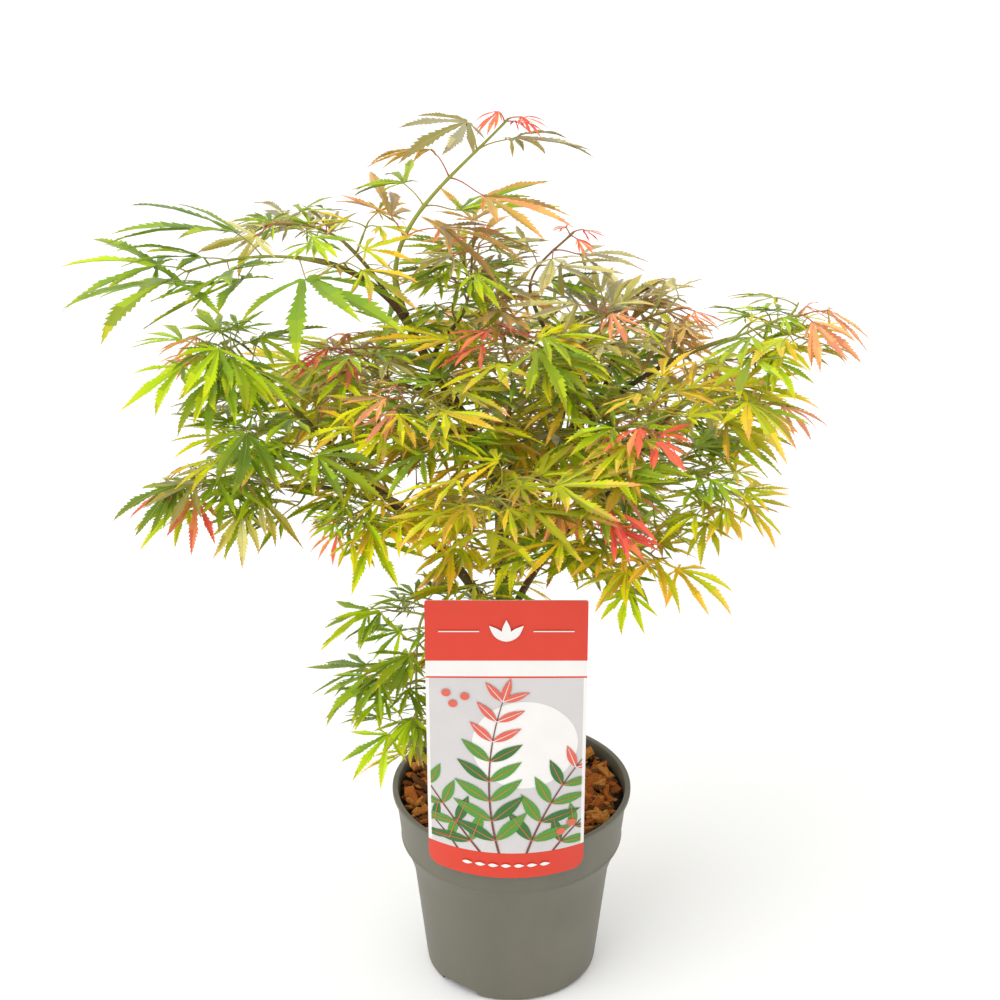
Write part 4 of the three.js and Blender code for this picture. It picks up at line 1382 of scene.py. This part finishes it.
# --- The form of a leaf ---
# A lobe is its bearing from the middle one and its length. Its rows are a share of its
# length and a share of its half width, and each stretch between rows has its teeth.
LOBES = ((-108, 0.32), (-68, 0.68), (-32, 0.92), (0, 1.0), (32, 0.92), (68, 0.68), (108, 0.32))
ROWS = ((0.24, 0.48), (0.56, 1.0), (0.8, 0.5))
TEETH = (1, 4, 4, 3)
SINUS = 0.09  # reach of the notch between two lobes
HEEL = (152, 0.045)  # bearing and reach of the blade's edge beside the stalk
BASE, MIDDLE, TIP, RIB = range(4)
ZONES = (BASE, BASE, MIDDLE, TIP)


class FlatLeaf:
    """A leaf laid flat: for each point its lobe, its place along it and across it, and for
    each face its zone. Built from one lobe after the other, drawn out row by row."""

    def __init__(self, half_width, rib, tooth, teeth=TEETH):
        self.half_width, self.rib, self.tooth, self.teeth = half_width, rib, tooth, teeth
        bm = bmesh.new()
        self.layers = [
            bm.verts.layers.int.new("lobe"),
            bm.verts.layers.float.new("along"),
            bm.verts.layers.float.new("across"),
        ]
        self.zone = bm.faces.layers.int.new("zone")
        for index in range(len(LOBES)):
            self.add_lobe(bm, index)
        bmesh.ops.remove_doubles(bm, verts=bm.verts, dist=1e-4)
        turn_faces(bm, UP)
        bm.verts.index_update()
        lobe, along, across = self.layers
        self.lobe = np.array([v[lobe] for v in bm.verts])
        self.along = np.array([v[along] for v in bm.verts])
        self.across = np.array([v[across] for v in bm.verts])
        self.faces = [[v.index for v in face.verts] for face in bm.faces]
        self.corners, self.counts = corners_and_counts(self.faces)
        self.zones = np.array([face[self.zone] for face in bm.faces])
        far = [max(face.verts, key=lambda v: v[along]) for face in bm.faces]
        sides = [sum(v[across] for v in face.verts) > 0 for face in bm.faces]
        self.halves = np.array([2 * v[lobe] + side for v, side in zip(far, sides)])
        bm.free()

    def foot(self, index, hand):
        """Where a lobe's edge starts on one side: halfway to its neighbour, or the heel."""
        other = index + hand
        if 0 <= other < len(LOBES):
            angle, reach = abs(LOBES[other][0] - LOBES[index][0]) / 2, SINUS
        else:
            angle, reach = HEEL[0] - abs(LOBES[index][0]), HEEL[1]
        return Vector((hand * reach * sin(radians(angle)), reach * cos(radians(angle)), 0))

    def add_lobe(self, bm, index):
        """Draws out one lobe along +Y from the leaf's centre and turns it to its bearing."""
        bearing, size = LOBES[index]
        half, rib = self.half_width * size, self.rib * size
        old = set(bm.verts)
        centre = bm.verts.new((0, 0, 0))
        feet = [bm.verts.new(self.foot(index, hand)) for hand in (-1, 1)]
        share, width = ROWS[0]
        row = [bm.verts.new((x, share * size, 0)) for x in (-half * width, -rib, rib, half * width)]
        edges = [bm.edges.new(pair) for pair in zip(row, row[1:])]
        left, right = [feet[0], row[0]], [feet[1], row[3]]
        for face, zone in (
            ((centre, row[1], row[0], feet[0]), BASE),
            ((centre, row[2], row[1]), RIB),
            ((centre, feet[1], row[3], row[2]), BASE),
        ):
            bm.faces.new(face)[self.zone] = zone
        for stretch, (share, width) in enumerate((*ROWS[1:], (1, 0)), 1):
            made = bmesh.ops.extrude_edge_only(bm, edges=edges)["geom"]
            row = sorted(verts_of(made), key=lambda v: v.co.x)
            edges = edges_of(made)
            for face in faces_of(made):
                middle = abs(face.calc_center_median().x) < 0.5 * rib
                face[self.zone] = RIB if middle else ZONES[stretch]
            for v, x in zip(row, (-half * width, -rib * (1 - share), rib * (1 - share), half * width)):
                v.co = Vector((x, share * size, 0))
            if width == 0:
                bmesh.ops.pointmerge(bm, verts=row, merge_co=(0, size, 0))
                tip = next(v for v in bm.verts if (v.co - Vector((0, size, 0))).length < 1e-6)
                row = [tip] * 4
            left.append(row[0])
            right.append(row[-1])
        for hand, margin in ((-1, left), (1, right)):
            for stretch, ends in enumerate(zip(margin, margin[1:])):
                self.cut_teeth(bm, *ends, self.teeth[stretch], hand)
        lobe, along, across = self.layers
        new = [v for v in bm.verts if v not in old]
        for v in new:
            v[lobe], v[along], v[across] = index, v.co.y, v.co.x
        bmesh.ops.rotate(bm, verts=new, matrix=Matrix.Rotation(radians(-bearing), 3, "Z"))

    def cut_teeth(self, bm, start, end, teeth, hand):
        """Splits a stretch of margin into teeth that point forwards."""
        places = []
        for n in range(teeth):
            places.append(((n + 0.72) / teeth, True))
            if n < teeth - 1:
                places.append(((n + 1) / teeth, False))
        before, last, run = start, 0, end.co - start.co
        first = start.co.copy()
        for share, is_tip in places:
            edge = next(e for e in before.link_edges if end in e.verts)
            _, made = bmesh.utils.edge_split(edge, before, (share - last) / (1 - last))
            made.co = first + run * share
            half = abs(made.co.x)
            stand = self.tooth * half if is_tip else -0.3 * self.tooth * half
            made.co += Vector((hand * stand, max(0, stand), 0))
            before, last = made, share


KNOTS = 8  # stretches in which a lobe bends along its rib
# How single leaves and lobes stand and how much they differ. Angles are in degrees.
STANCE = {
    "length_spread": 0.12,
    "openness": 0.84,  # how far the lobes spread out
    "openness_spread": 0.22,
    "bearing_spread": 7,
    "outermost": 112,  # bearing at which a lobe counts as an outer one
    "sweep_spread": 26,  # how far a tip sweeps aside
    "pitch_spread": 13,
    "outer_pitch": 3,  # how much further the outer lobes hang
    "sag_spread": 0.6,  # from leaf to leaf
    "lobe_sag_spread": 0.5,  # from lobe to lobe
    "fold_spread": 0.5,
    "wave": 0.006,
}


class LeafForm:
    """How one leaf stands: its lobes' bearings, how they hang and how they sweep aside."""

    def __init__(self, settings, keys, hang=0.0):
        shares = np.linspace(0, 1, KNOTS + 1)
        sizes = np.array([size for _, size in LOBES])
        count = len(LOBES)
        vary = np.array([[spread(*keys, 10 * lobe + n) for n in range(5)] for lobe in range(count)])
        self.sizes = sizes * (1 + STANCE["length_spread"] * vary[:, 0])
        openness = STANCE["openness"] + STANCE["openness_spread"] * spread(*keys, 95)
        bearings = np.array([bearing for bearing, _ in LOBES]) * openness
        bearings = bearings + STANCE["bearing_spread"] * vary[:, 1]
        outer = np.abs(bearings) / STANCE["outermost"]
        heading = np.radians(bearings[:, None] + STANCE["sweep_spread"] * vary[:, 2, None] * shares**2)
        tilt = STANCE["pitch_spread"] * vary[:, 3, None] + STANCE["outer_pitch"] * outer[:, None]
        pitch = hang * (0.4 + 0.6 * outer[:, None]) + np.radians(tilt)
        sag = 1 + STANCE["sag_spread"] * spread(*keys, 96)
        droop = 2.3 * settings.sag * sag * (1 + STANCE["lobe_sag_spread"] * vary[:, 4, None])
        pitch = pitch + droop * shares + 0.5 * settings.sag * shares**4
        self.side = np.stack([np.cos(heading), -np.sin(heading), 0 * heading], axis=-1)
        level = np.cos(pitch)
        run = np.stack([np.sin(heading) * level, np.cos(heading) * level, -np.sin(pitch)], axis=-1)
        self.normal = np.cross(self.side, run)
        steps = 0.5 * (run[:, 1:] + run[:, :-1]) * (self.sizes[:, None, None] / KNOTS)
        self.ribs = np.concatenate([np.zeros((count, 1, 3)), np.cumsum(steps, axis=1)], axis=1)
        self.fold = settings.fold * (1 + STANCE["fold_spread"] * spread(*keys, 97))
        self.wave = STANCE["wave"] * spread(*keys, 98)

    def shape(self, flat):
        """The flat leaf's points with its lobes bent along their ribs."""
        sizes = np.array([size for _, size in LOBES])[flat.lobe]
        place = np.clip(flat.along / sizes, 0, 1) * KNOTS
        knot = np.minimum(place.astype(int), KNOTS - 1)
        part = (place - knot)[:, None]

        def between(table):
            return table[flat.lobe, knot] * (1 - part) + table[flat.lobe, knot + 1] * part

        across = (flat.across * self.sizes[flat.lobe] / sizes)[:, None]
        rise = np.abs(across) * sin(self.fold) + self.wave * np.sin(place * 2.6)[:, None] * np.sign(across)
        return between(self.ribs) + between(self.side) * across * cos(self.fold) + between(self.normal) * rise


def tube(points, radii, sides):
    """The arrays of a tube that follows points, closed at both ends, and its faces."""
    points = np.array([list(p) for p in points])
    runs = np.gradient(points, axis=0)
    runs /= np.linalg.norm(runs, axis=1)[:, None]
    side = np.cross(runs[0], (0.31, 0.17, 0.94))
    angles = np.linspace(0, 2 * pi, sides, endpoint=False)
    rings = []
    for point, run, radius in zip(points, runs, radii):
        side = side - run * side.dot(run)
        side /= np.linalg.norm(side)
        over = np.cross(run, side)
        rings.append(point + radius * (np.outer(np.cos(angles), side) + np.outer(np.sin(angles), over)))
    quads = []
    for ring in range(len(points) - 1):
        for n in range(sides):
            a, b = ring * sides + n, ring * sides + (n + 1) % sides
            quads.append([a, b, b + sides, a + sides])
    ends = [list(range(sides))[::-1], list(range((len(points) - 1) * sides, len(points) * sides))]
    faces = quads + ends
    return np.concatenate(rings), *corners_and_counts(faces), faces


# --- Growth ---
class Room:
    """The space that is taken: each solid with its box, and the joint where it may touch
    others."""

    def __init__(self):
        self.trees, self.joints = [], []
        self.lows, self.highs = np.zeros((0, 3)), np.zeros((0, 3))

    def take(self, points, faces, joints=()):
        """Adds a solid to what is taken."""
        points = np.asarray(points)
        self.trees.append(BVHTree.FromPolygons([Vector(p) for p in points], faces))
        self.joints.append(joints)
        self.lows = np.vstack([self.lows, points.min(0)])
        self.highs = np.vstack([self.highs, points.max(0)])

    def is_clear(self, points, faces, joints=()):
        """Whether a solid touches none that is there, apart from those of its own joints."""
        low, high = points.min(0), points.max(0)
        near = np.nonzero((self.lows <= high).all(1) & (self.highs >= low).all(1))[0]
        near = [i for i in near if not any(joint in self.joints[i] for joint in joints)]
        if not near:
            return True
        tree = BVHTree.FromPolygons([Vector(p) for p in points], faces)
        return not any(tree.overlap(self.trees[i]) for i in near)


SIGHT_SLOPE = 0.58  # how steeply the card is looked at from the camera
SIGHT_GAP = 4 * MM


def hides_card(points):
    """Whether a leaf hangs before the card, which is kept free so that it can be read."""
    before = (points[:, 0] > CARD_LOW.x) & (points[:, 0] < CARD_HIGH.x) & (points[:, 1] < CARD_LOW.y)
    line_of_sight = CARD_HIGH.z + SIGHT_SLOPE * (CARD_LOW.y - points[:, 1])
    return (before & (points[:, 2] < line_of_sight + SIGHT_GAP)).any()


# Sides of the twigs, the stalks and the plain tubes that stand for the boughs in the tests.
TWIG_SIDES, STALK_SIDES, TEST_SIDES = 7, 5, 6


class Crown:
    """Everything that grows beyond the boughs, sorted by the piece that it goes into."""

    MARGIN = 16 * MM  # how far a tip may stand out of the solids' box

    def __init__(self, leaf_settings, limbs):
        self.leaf_settings = leaf_settings
        half, rib, tooth = leaf_settings.half_width, leaf_settings.rib, leaf_settings.tooth
        self.flat = FlatLeaf(half, rib, tooth)
        self.plain = FlatLeaf(half, rib, 0, teeth=(0, 0, 0, 0))
        self.wood, self.blades = Room(), Room()
        self.leaves = {name: [] for name in LEAF_PIECES}
        self.stalks, self.twigs = [], []
        low, high = CAD_BOX
        self.low, self.high = np.array(low) - self.MARGIN, np.array(high) + self.MARGIN
        for node in ("pot", "compost", "plant_card"):
            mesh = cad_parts[node].data
            self.wood.take([v.co for v in mesh.vertices], [list(p.vertices) for p in mesh.polygons])
        shares = np.linspace(0, 1, 9)
        for limb in limbs.values():
            along, radii = [limb.curve.at(s) for s in shares], [limb.radius(s) * 1.2 for s in shares]
            points, _, _, faces = tube(along, radii, TEST_SIDES)
            self.wood.take(points, faces)

    def add_twig(self, points, radii, slot, joints):
        """Adds a stem or a side twig along points."""
        points, corners, counts, faces = tube(points, radii, TWIG_SIDES)
        self.wood.take(points, faces, joints)
        self.twigs.append((points, corners, counts, np.full(len(counts), slot)))


class Shoot:
    """What a mass and a bough's spurs share: leaves, pairs and side twigs at a node."""

    def __init__(self, crown, seed, name, leaf, family, path):
        self.crown, self.seed, self.name, self.keys = crown, seed, name, 0
        self.leaf, self.family, self.path = leaf * MM, family, path
        self.habit = {**SHOOT, **HABITS.get(name, {})}

    def holds(self, point):
        """Whether a leaf's tip is within the shoot's own space."""
        near = (np.linalg.norm(self.path - point, axis=1) < SHOOT["space"] * self.leaf).any()
        low = self.path[:, 2].min() - self.habit["under"] * self.leaf
        high = self.path[:, 2].max() + self.habit["over"] * self.leaf
        return near and low < point.z < high

    def tint(self, spray):
        """The tint of a whole spray, dealt out from the family's shares."""
        pick = chance(self.seed, spray, 5)
        for name, share in FAMILIES[self.family]:
            pick -= share
            if pick < 0:
                return name
        return FAMILIES[self.family][0][0]

    def grow_pair(self, node, along, turn, size, joint, tint, reach=0):
        """Two leaves at a node, one to each side, or two side twigs if they have a reach."""
        flat = along.cross(UP).normalized()
        angle = radians(SHOOT["pair_angle"])
        for hand in (-1, 1):
            axis = Quaternion(along, radians(turn)) @ flat * hand
            direction = along * cos(angle) + axis * sin(angle)
            if reach:
                self.grow_twig(node, direction, size, joint, joint + "twig" + str(hand), reach)
            else:
                self.grow_leaf(node, direction, size, joint, tint)

    def grow_twig(self, root, direction, size, joint, own_joint, reach):
        """A side twig with its end leaf, the pair at its tip and, if it is long, one more."""
        heading = Vector((direction.x, direction.y, direction.z * SHOOT["twig_level"])).normalized()
        length = reach * self.leaf * size
        shares = np.linspace(0, 1, 9)
        side = heading.cross(UP).normalized()
        bow = side * SHOOT["twig_bow"] * length * spread(self.seed, self.keys, 8)
        points = [root + heading * length * share + bow * sin(pi * share) for share in shares]
        knobs = [1 + 0.3 * (abs(share - 0.5) < 0.07) for share in shares]
        radii = [mix(1.25, 0.8, s) * SHOOT["twig_radius"] * MM * knob for s, knob in zip(shares, knobs)]
        surface, _, _, faces = tube(points, radii, TWIG_SIDES)
        wood, blades = self.crown.wood, self.crown.blades
        if not wood.is_clear(surface, faces, (joint,)) or not blades.is_clear(surface, faces):
            return
        tint = self.tint(self.keys)
        slot = RED_WOOD if tint in RED_TWIG_TINTS else GREEN_WOOD
        self.crown.add_twig(points, radii, slot, (joint, own_joint))
        self.grow_leaf(points[-1], heading, size, own_joint, tint)
        tip_node = points[-1] - heading * SHOOT["tip_node"] * MM
        self.grow_pair(tip_node, heading, SHOOT["twig_turn"], size, own_joint, tint)
        if reach >= SHOOT["twig"]:
            self.grow_pair(points[4], heading, SHOOT["twig_turn"] + 70, 0.85 * size, own_joint, tint)

    def is_past_tip(self, point):
        """Whether a leaf would hide the shoot's young tip."""
        return False

    def grow_leaf(self, node, direction, size, joint, tint):
        """A leaf on its stalk, at the first of several tries that finds room for it."""
        key = self.keys
        self.keys += 1
        is_young = tint in YOUNG_TINTS
        if is_young:
            size *= self.habit["young"]
        high, low = SHOOT["droop_heights"]
        depth = min(1, max(0, (high - node.z) / (high - low)))
        droop = self.habit["hang"] + mix(*SHOOT["droop"], depth)
        for attempt in range(SHOOT["tries"]):
            vary = [spread(self.seed, key, attempt, n) for n in range(5)]
            heading = Quaternion(UP, radians(SHOOT["swing"] * vary[0])) @ direction
            heading.z = heading.z * SHOOT["level"] + SHOOT["lift_spread"] * vary[1]
            heading.normalize()
            length = self.leaf * size * (1 + SHOOT["size_spread"] * vary[2]) * (1 - SHOOT["shrink"] * attempt)
            base = node + heading * self.habit["petiole"] * length
            out = Vector((heading.x, heading.y, 0)).normalized()
            tilt = Quaternion(UP.cross(out), radians(droop + SHOOT["droop_spread"] * vary[3]))
            out = tilt @ out
            roll = radians(self.habit["aside"] + SHOOT["roll"] * vary[4])
            normal = Quaternion(out, roll) @ (tilt @ UP)
            tip = base + out * length
            if not self.holds(tip) or self.is_past_tip(tip):
                continue
            form = LeafForm(self.crown.leaf_settings, (self.seed, key, attempt), hang=0.5 if is_young else 0)
            if self.place_leaf(form, node, heading, base, out, normal, length, joint, tint):
                return

    def place_leaf(self, form, node, heading, base, out, normal, length, joint, tint):
        """Adds the leaf with its stalk if both stand clear of all that is there."""
        crown = self.crown
        axes = np.array([out.cross(normal)[:], out[:], normal[:]]) * length
        plain = form.shape(crown.plain) @ axes + np.array(base)
        if (plain < crown.low).any() or (plain > crown.high).any() or hides_card(plain):
            return False
        stalk_end = base + out * 0.02 * length
        stalk = Curve(node, heading + UP * 0.35, stalk_end, out * 0.8 + heading, 0.4)
        shares = np.linspace(0, 1, 7)
        radii = [0.5 * MM * (1 + 0.5 * (1 - s) ** 4) for s in shares]
        points, corners, counts, faces = tube([stalk.at(s) for s in shares], radii, STALK_SIDES)
        neck = 2 * STALK_SIDES
        outer, outer_faces = points[neck:], [[i - neck for i in f] for f in faces if min(f) >= neck]
        if not (
            crown.wood.is_clear(plain, crown.plain.faces)
            and crown.wood.is_clear(points, faces, (joint,))
            and crown.wood.is_clear(outer, outer_faces)
            and crown.blades.is_clear(plain, crown.plain.faces)
            and crown.blades.is_clear(points, faces)
        ):
            return False
        crown.blades.take(plain, crown.plain.faces)
        crown.wood.take(outer, outer_faces)
        crown.wood.take(points, faces, (joint,))
        piece = next(name for name, tints in LEAF_PIECES.items() if tint in tints)
        slots = self.deal_slots(piece, tint)
        shaped = form.shape(crown.flat) @ axes + np.array(base)
        crown.leaves[piece].append((shaped, crown.flat.corners, crown.flat.counts, slots))
        slot = RED_WOOD if tint in RED_STALK_TINTS else GREEN_WOOD
        crown.stalks.append((points, corners, counts, np.full(len(counts), slot)))
        return True

    def deal_slots(self, piece, tint):
        """The material slot of each of a leaf's faces. Most lobes take the leaf's tint and
        a few another of its piece. Light and shade are painted: each half lobe, and each zone
        of it, takes a lit or shaded copy of its tint, round a painted light level for the leaf."""
        flat = self.crown.flat
        tints = len(LEAF_PIECES[piece])
        own = LEAF_PIECES[piece].index(tint)
        # The leaf's painted light level; its half lobes and their zones vary round it.
        light = PAINTED_SHADE_LEVELS * chance(self.seed, self.keys, 6)
        patches = np.zeros((2 * len(LOBES), len(ZONES)), int)
        lobe_tints = np.full(len(LOBES), own)
        for lobe in range(len(LOBES)):
            if chance(self.seed, self.keys, lobe, 8) < MOTTLES[piece]:
                further = 1 + int(chance(self.seed, self.keys, lobe, 9) * (tints - 1))
                lobe_tints[lobe] = (own + further) % tints
        for half in range(2 * len(LOBES)):
            painted_shade_of_half = light + spread(self.seed, self.keys, half, 7)
            for zone in range(len(ZONES)):
                shade = painted_shade_of_half + 0.7 * spread(self.seed, self.keys, half, 10 + zone)
                patches[half, zone] = min(PAINTED_SHADE_LEVELS - 1, max(0, int(shade)))
        first = lobe_tints[flat.halves // 2] * TINT_SLOTS
        painted_shade_of_face = patches[flat.halves, flat.zones]
        of_zone = first + SHADED_ZONES * painted_shade_of_face + flat.zones
        return np.where(flat.zones == RIB, first + TINT_SLOTS - 1, of_zone)


class Mass(Shoot):
    """One mass grows from its bough's tip on a stem of its own, which is there before any
    leaf. Then it bears pairs of leaves and side twigs at its nodes."""

    def __init__(self, crown, seed, name, limbs):
        bough, tip, nodes, leaf, family, self.young, self.twiggy = MASSES[name]
        # A twiggy stem has two more nodes between each two of the solid's.
        self.nodes = 3 * nodes - 2 if self.twiggy else nodes
        limb = limbs[bough]
        start, leaving = limb.curve.at(1), limb.curve.along(1)
        arriving = (polar(tip) - start).normalized() + UP * SHOOT["arch"]
        self.stem = Curve(start, leaving, polar(tip), arriving, SHOOT["onward"])
        super().__init__(crown, seed, name, leaf, family, self.stem.points[::16])
        self.tip_grown = False
        joints = [self.name + str(n) for n in range(self.nodes)]
        shares = np.linspace(0, 1, 36)
        radii = [self.stem_radius(limb.radius(1), share) for share in shares]
        slot = RED_WOOD if family == "olive" or self.young == "coral" else GREEN_WOOD
        crown.add_twig([self.stem.at(share) for share in shares], radii, slot, joints)

    def stem_radius(self, foot, share):
        """Tapers along the stem and swells a little at each node."""
        nearest = min(abs(share - self.node_share(n)) for n in range(self.nodes)) * self.stem.length
        taper = mix(foot * mix(1, 0.62, min(1, 6 * share)), SHOOT["tip_radius"] * MM, share)
        return taper * (1 + 0.3 * exp(-((nearest / (1.6 * MM)) ** 2)))

    def node_share(self, n):
        """The share of the stem's length at which a node stands."""
        tip = 1 - SHOOT["tip_node"] * MM / self.stem.length
        return mix(SHOOT["first_node"], tip, n / (self.nodes - 1))

    def grow_node(self, n):
        """A node's pair of leaves or side twigs. The last node also bears the end leaf."""
        share = n / (self.nodes - 1)
        size = mix(1, self.habit["tip_size"], share)
        place = self.node_share(n)
        node, along = self.stem.at(place), self.stem.along(place)
        joint = self.name + str(n)
        last = n == self.nodes - 1
        tint = self.young if last else self.tint(n)
        if last:
            self.grow_leaf(self.stem.at(1), along, size, joint, tint)
        reach = 0
        if self.twiggy and not last:
            reach = (SHOOT["twig"], 0, SHOOT["short_twig"])[n % 3]
        turn = self.habit["first_turn"] + n * self.habit["turn"]
        self.grow_pair(node, along, turn, size, joint, tint, reach)
        self.tip_grown = True

    def is_past_tip(self, point):
        past = (point - self.stem.at(1)).dot(self.stem.along(1))
        return self.tip_grown and past > self.habit["past"] * self.leaf


class Spurs(Shoot):
    """The short leafy spurs along one limb."""

    def __init__(self, crown, seed, name, limb):
        self.limb = limb
        super().__init__(crown, seed, name, SPUR["leaf"], "inner", limb.curve.points[::10])

    def grow_spur(self, n):
        """One spur, unless the limb is bare where it would stand."""
        share = SPUR["shares"][n]
        if share < SPUR["from"].get(self.name, 0):
            return
        along = self.limb.curve.along(share)
        flat = along.cross(UP).normalized()
        turn = radians(SPUR["turn"] * (n + self.seed))
        axis = Quaternion(along, turn) @ flat
        root = self.limb.curve.at(share) + axis * self.limb.radius(share) * SPUR["stand"]
        direction = (along * 0.6 + axis).normalized()
        reach = SPUR["length"] * MM / self.leaf
        self.grow_twig(root, direction, 1, "", self.name + "spur" + str(n), reach)


# --- Tints ---
# Painted light and shade: every tint is made in lit and shaded copies, its colour times each of these levels.
PAINTED_SHADE_LEVELS = 3
PAINTED_LIGHT_LEVELS = (1.0, 1.5, 2.0)
# Share of a leaf's lobes that take another tint of its piece.
MOTTLES = {"green": 0.35, "lime": 0.25, "olive": 0.4, "bronze": 0.07, "coral": 0.3}
SHADED_ZONES = 3  # the base, the middle and the tip of the lobes
TINT_SLOTS = SHADED_ZONES * PAINTED_SHADE_LEVELS + 1
# What each tint turns to at the tips of its lobes, and how far.
TURNS = {
    "fresh": ("gold", 0.45),
    "deep": ("gold", 0.3),
    "dark": ("lime", 0.4),
    "lime": ("gold", 0.55),
    "gold": ("peach", 0.5),
    "turning": ("peach", 0.8),
    "olive": ("bronze", 0.9),
    "grey": ("bronze", 0.6),
    "bronze": ("peach", 0.35),
    "peach": ("coral", 0.5),
    "coral": ("scarlet", 0.3),
    "scarlet": ("coral", 0.3),
}


def leaf_tints(settings, tint):
    """A tint's materials: base, middle and tip of the lobes at each painted light level, then
    the rib. The levels are lit and shaded copies of one colour, painted light and shade;
    the more lit a copy, the yellower it is, as in sunlight."""
    turn, most = TURNS[tint]
    colour, turned = getattr(settings, tint), getattr(settings, turn)
    values = {"Specular IOR Level": 0.45 if tint in LEAF_PIECES["olive"] + LEAF_PIECES["bronze"] else 0.2}
    made = []
    for shade, light in enumerate(PAINTED_LIGHT_LEVELS):
        for zone, share in (("base", 0.0), ("middle", 0.3 * most), ("tip", most)):
            r, g, b = mixed(colour, turned, share)
            # Painted light: the colour brightened by the level, its blue less, so that a lit copy looks
            # sunlit; the material's name ends with the level's number.
            shaded = tuple(min(1, c) for c in (r * light, g * light, b * light**0.3))
            made.append(Shader(f"leaf_{tint}_{zone}_{shade + 1}", shaded, 0.42, **values).material)
    pale = mixed(mixed(colour, settings.lime, 0.3), (0.6, 0.5, 0.3), settings.rib_light)
    made.append(Shader(f"leaf_{tint}_rib", pale, 0.5, **values).material)
    return made


def leaf_pieces_of(mass):
    """The pieces that hold most of a mass's leaves and its young ones."""
    family, young = MASSES[mass][4:6]
    tints = (FAMILIES[family][0][0], young)
    return [name for name, held in LEAF_PIECES.items() if any(tint in held for tint in tints)]


class MAPLE_OT_crown(bpy.types.Operator):
    """Grow the masses of leaves on their shoots, each clear of its neighbours"""

    bl_idname = "maple.crown"
    bl_label = "Crown"

    def execute(self, context):
        scene = context.scene
        limbs = grow_limbs()
        crown = Crown(scene.maple_leaves, limbs)
        masses = [Mass(crown, seed, name, limbs) for seed, name in enumerate(MASSES)]
        for back in range(1, max(mass.nodes for mass in masses) + 1):
            for mass in masses:
                if back <= mass.nodes:
                    mass.grow_node(mass.nodes - back)
        spurs = [
            Spurs(crown, SPUR["seed"] + number, name, limbs[name])
            for number, name in enumerate((*BOUGHS, "trunk"))
        ]
        for n in range(len(SPUR["shares"])):
            for spur in spurs:
                spur.grow_spur(n)
        for name, leaves in crown.leaves.items():
            materials = [m for tint in LEAF_PIECES[name] for m in leaf_tints(scene.maple_leaves, tint)]
            replaced = [mass for mass in MASSES if name in leaf_pieces_of(mass)]
            add_piece(name + "_leaves", join_arrays(leaves), materials, replaced)
        shoots = scene.maple_shoots
        bark = [
            Shader("green_shoot", shoots.green_shoot, 0.5).material,
            Shader("red_shoot", shoots.red_shoot, 0.5).material,
        ]
        add_piece("leafy_twigs", join_arrays(crown.twigs), bark, list(MASSES))
        stalks = [
            Shader("leaf_stalk", shoots.petiole, 0.5).material,
            Shader("red_leaf_stalk", shoots.red_petiole, 0.5).material,
        ]
        add_piece("leaf_stalks", join_arrays(crown.stalks), stalks, list(MASSES))
        return {"FINISHED"}


# --- Stage ---
KEY_FROM = (-1.1, -0.9, 1.3)  # the way to the key light


class MAPLE_OT_stage(bpy.types.Operator):
    """Set the pale floor, the soft light and the camera"""

    bl_idname = "maple.stage"
    bl_label = "Stage"

    def execute(self, context):
        scene = context.scene
        settings = scene.maple_stage
        bm = bmesh.new()
        bmesh.ops.create_grid(bm, x_segments=8, y_segments=8, size=6)
        floor = put_in_scene("floor", mesh_from(bm, smooth=False))
        shader = Shader("floor", settings.floor, 0.9, **{"Specular IOR Level": 0.1})
        floor.data.materials.append(shader.material)
        floor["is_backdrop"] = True
        world = bpy.data.worlds.new("surround")
        world.use_nodes = True
        background = world.node_tree.nodes["Background"].inputs
        background["Color"].default_value = (1, 1, 1, 1)
        background["Strength"].default_value = settings.sky
        scene.world = world
        key = bpy.data.lights.new("key", "SUN")
        key.energy = settings.key
        key.angle = settings.softness
        put_in_scene("key", key).rotation_euler = Vector(KEY_FROM).to_track_quat("Z", "Y").to_euler()
        camera = put_in_scene("camera", bpy.data.cameras.new("camera"))
        camera.data.lens = settings.lens
        camera.data.sensor_width = 36
        camera.location = settings.camera_place
        camera.rotation_euler = (pi / 2 - settings.camera_pitch, 0, 0)
        scene.camera = camera
        scene.view_settings.view_transform = "Standard"
        return {"FINISHED"}


class MAPLE_PT_panel(bpy.types.Panel):
    """The steps that make the plant"""

    bl_idname = "MAPLE_PT_panel"
    bl_label = "Potted Japanese Maple"
    bl_space_type = "VIEW_3D"
    bl_region_type = "UI"
    bl_category = "Maple"

    def draw(self, context):
        for operator in OPERATORS:
            box = self.layout.box()
            box.operator(operator.bl_idname)
            for group in STEP_SETTINGS[operator.bl_idname]:
                for name in SETTINGS[group].__annotations__:
                    box.prop(getattr(context.scene, group), name)


OPERATORS = (
    MAPLE_OT_pot,
    MAPLE_OT_compost,
    MAPLE_OT_card,
    MAPLE_OT_wood,
    MAPLE_OT_crown,
    MAPLE_OT_stage,
)
STEP_SETTINGS = {
    "maple.pot": ("maple_pot",),
    "maple.compost": ("maple_compost",),
    "maple.card": ("maple_card",),
    "maple.wood": ("maple_wood",),
    "maple.crown": ("maple_shoots", "maple_leaves"),
    "maple.stage": ("maple_stage",),
}
CLASSES = (*SETTINGS.values(), *OPERATORS, MAPLE_PT_panel)


def register():
    for cls in CLASSES:
        bpy.utils.register_class(cls)
    for name, settings in SETTINGS.items():
        setattr(bpy.types.Scene, name, bpy.props.PointerProperty(type=settings))


def unregister():
    for name in SETTINGS:
        delattr(bpy.types.Scene, name)
    for cls in reversed(CLASSES):
        bpy.utils.unregister_class(cls)


def main():
    register()
    for operator in OPERATORS:
        group, step = operator.bl_idname.split(".")
        getattr(getattr(bpy.ops, group), step)()
    boxes = {"cad": CAD_BOX, "visual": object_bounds()}
    {name: [list(corner) for corner in box] for name, box in boxes.items()}


if __name__ == "__main__":
    main()
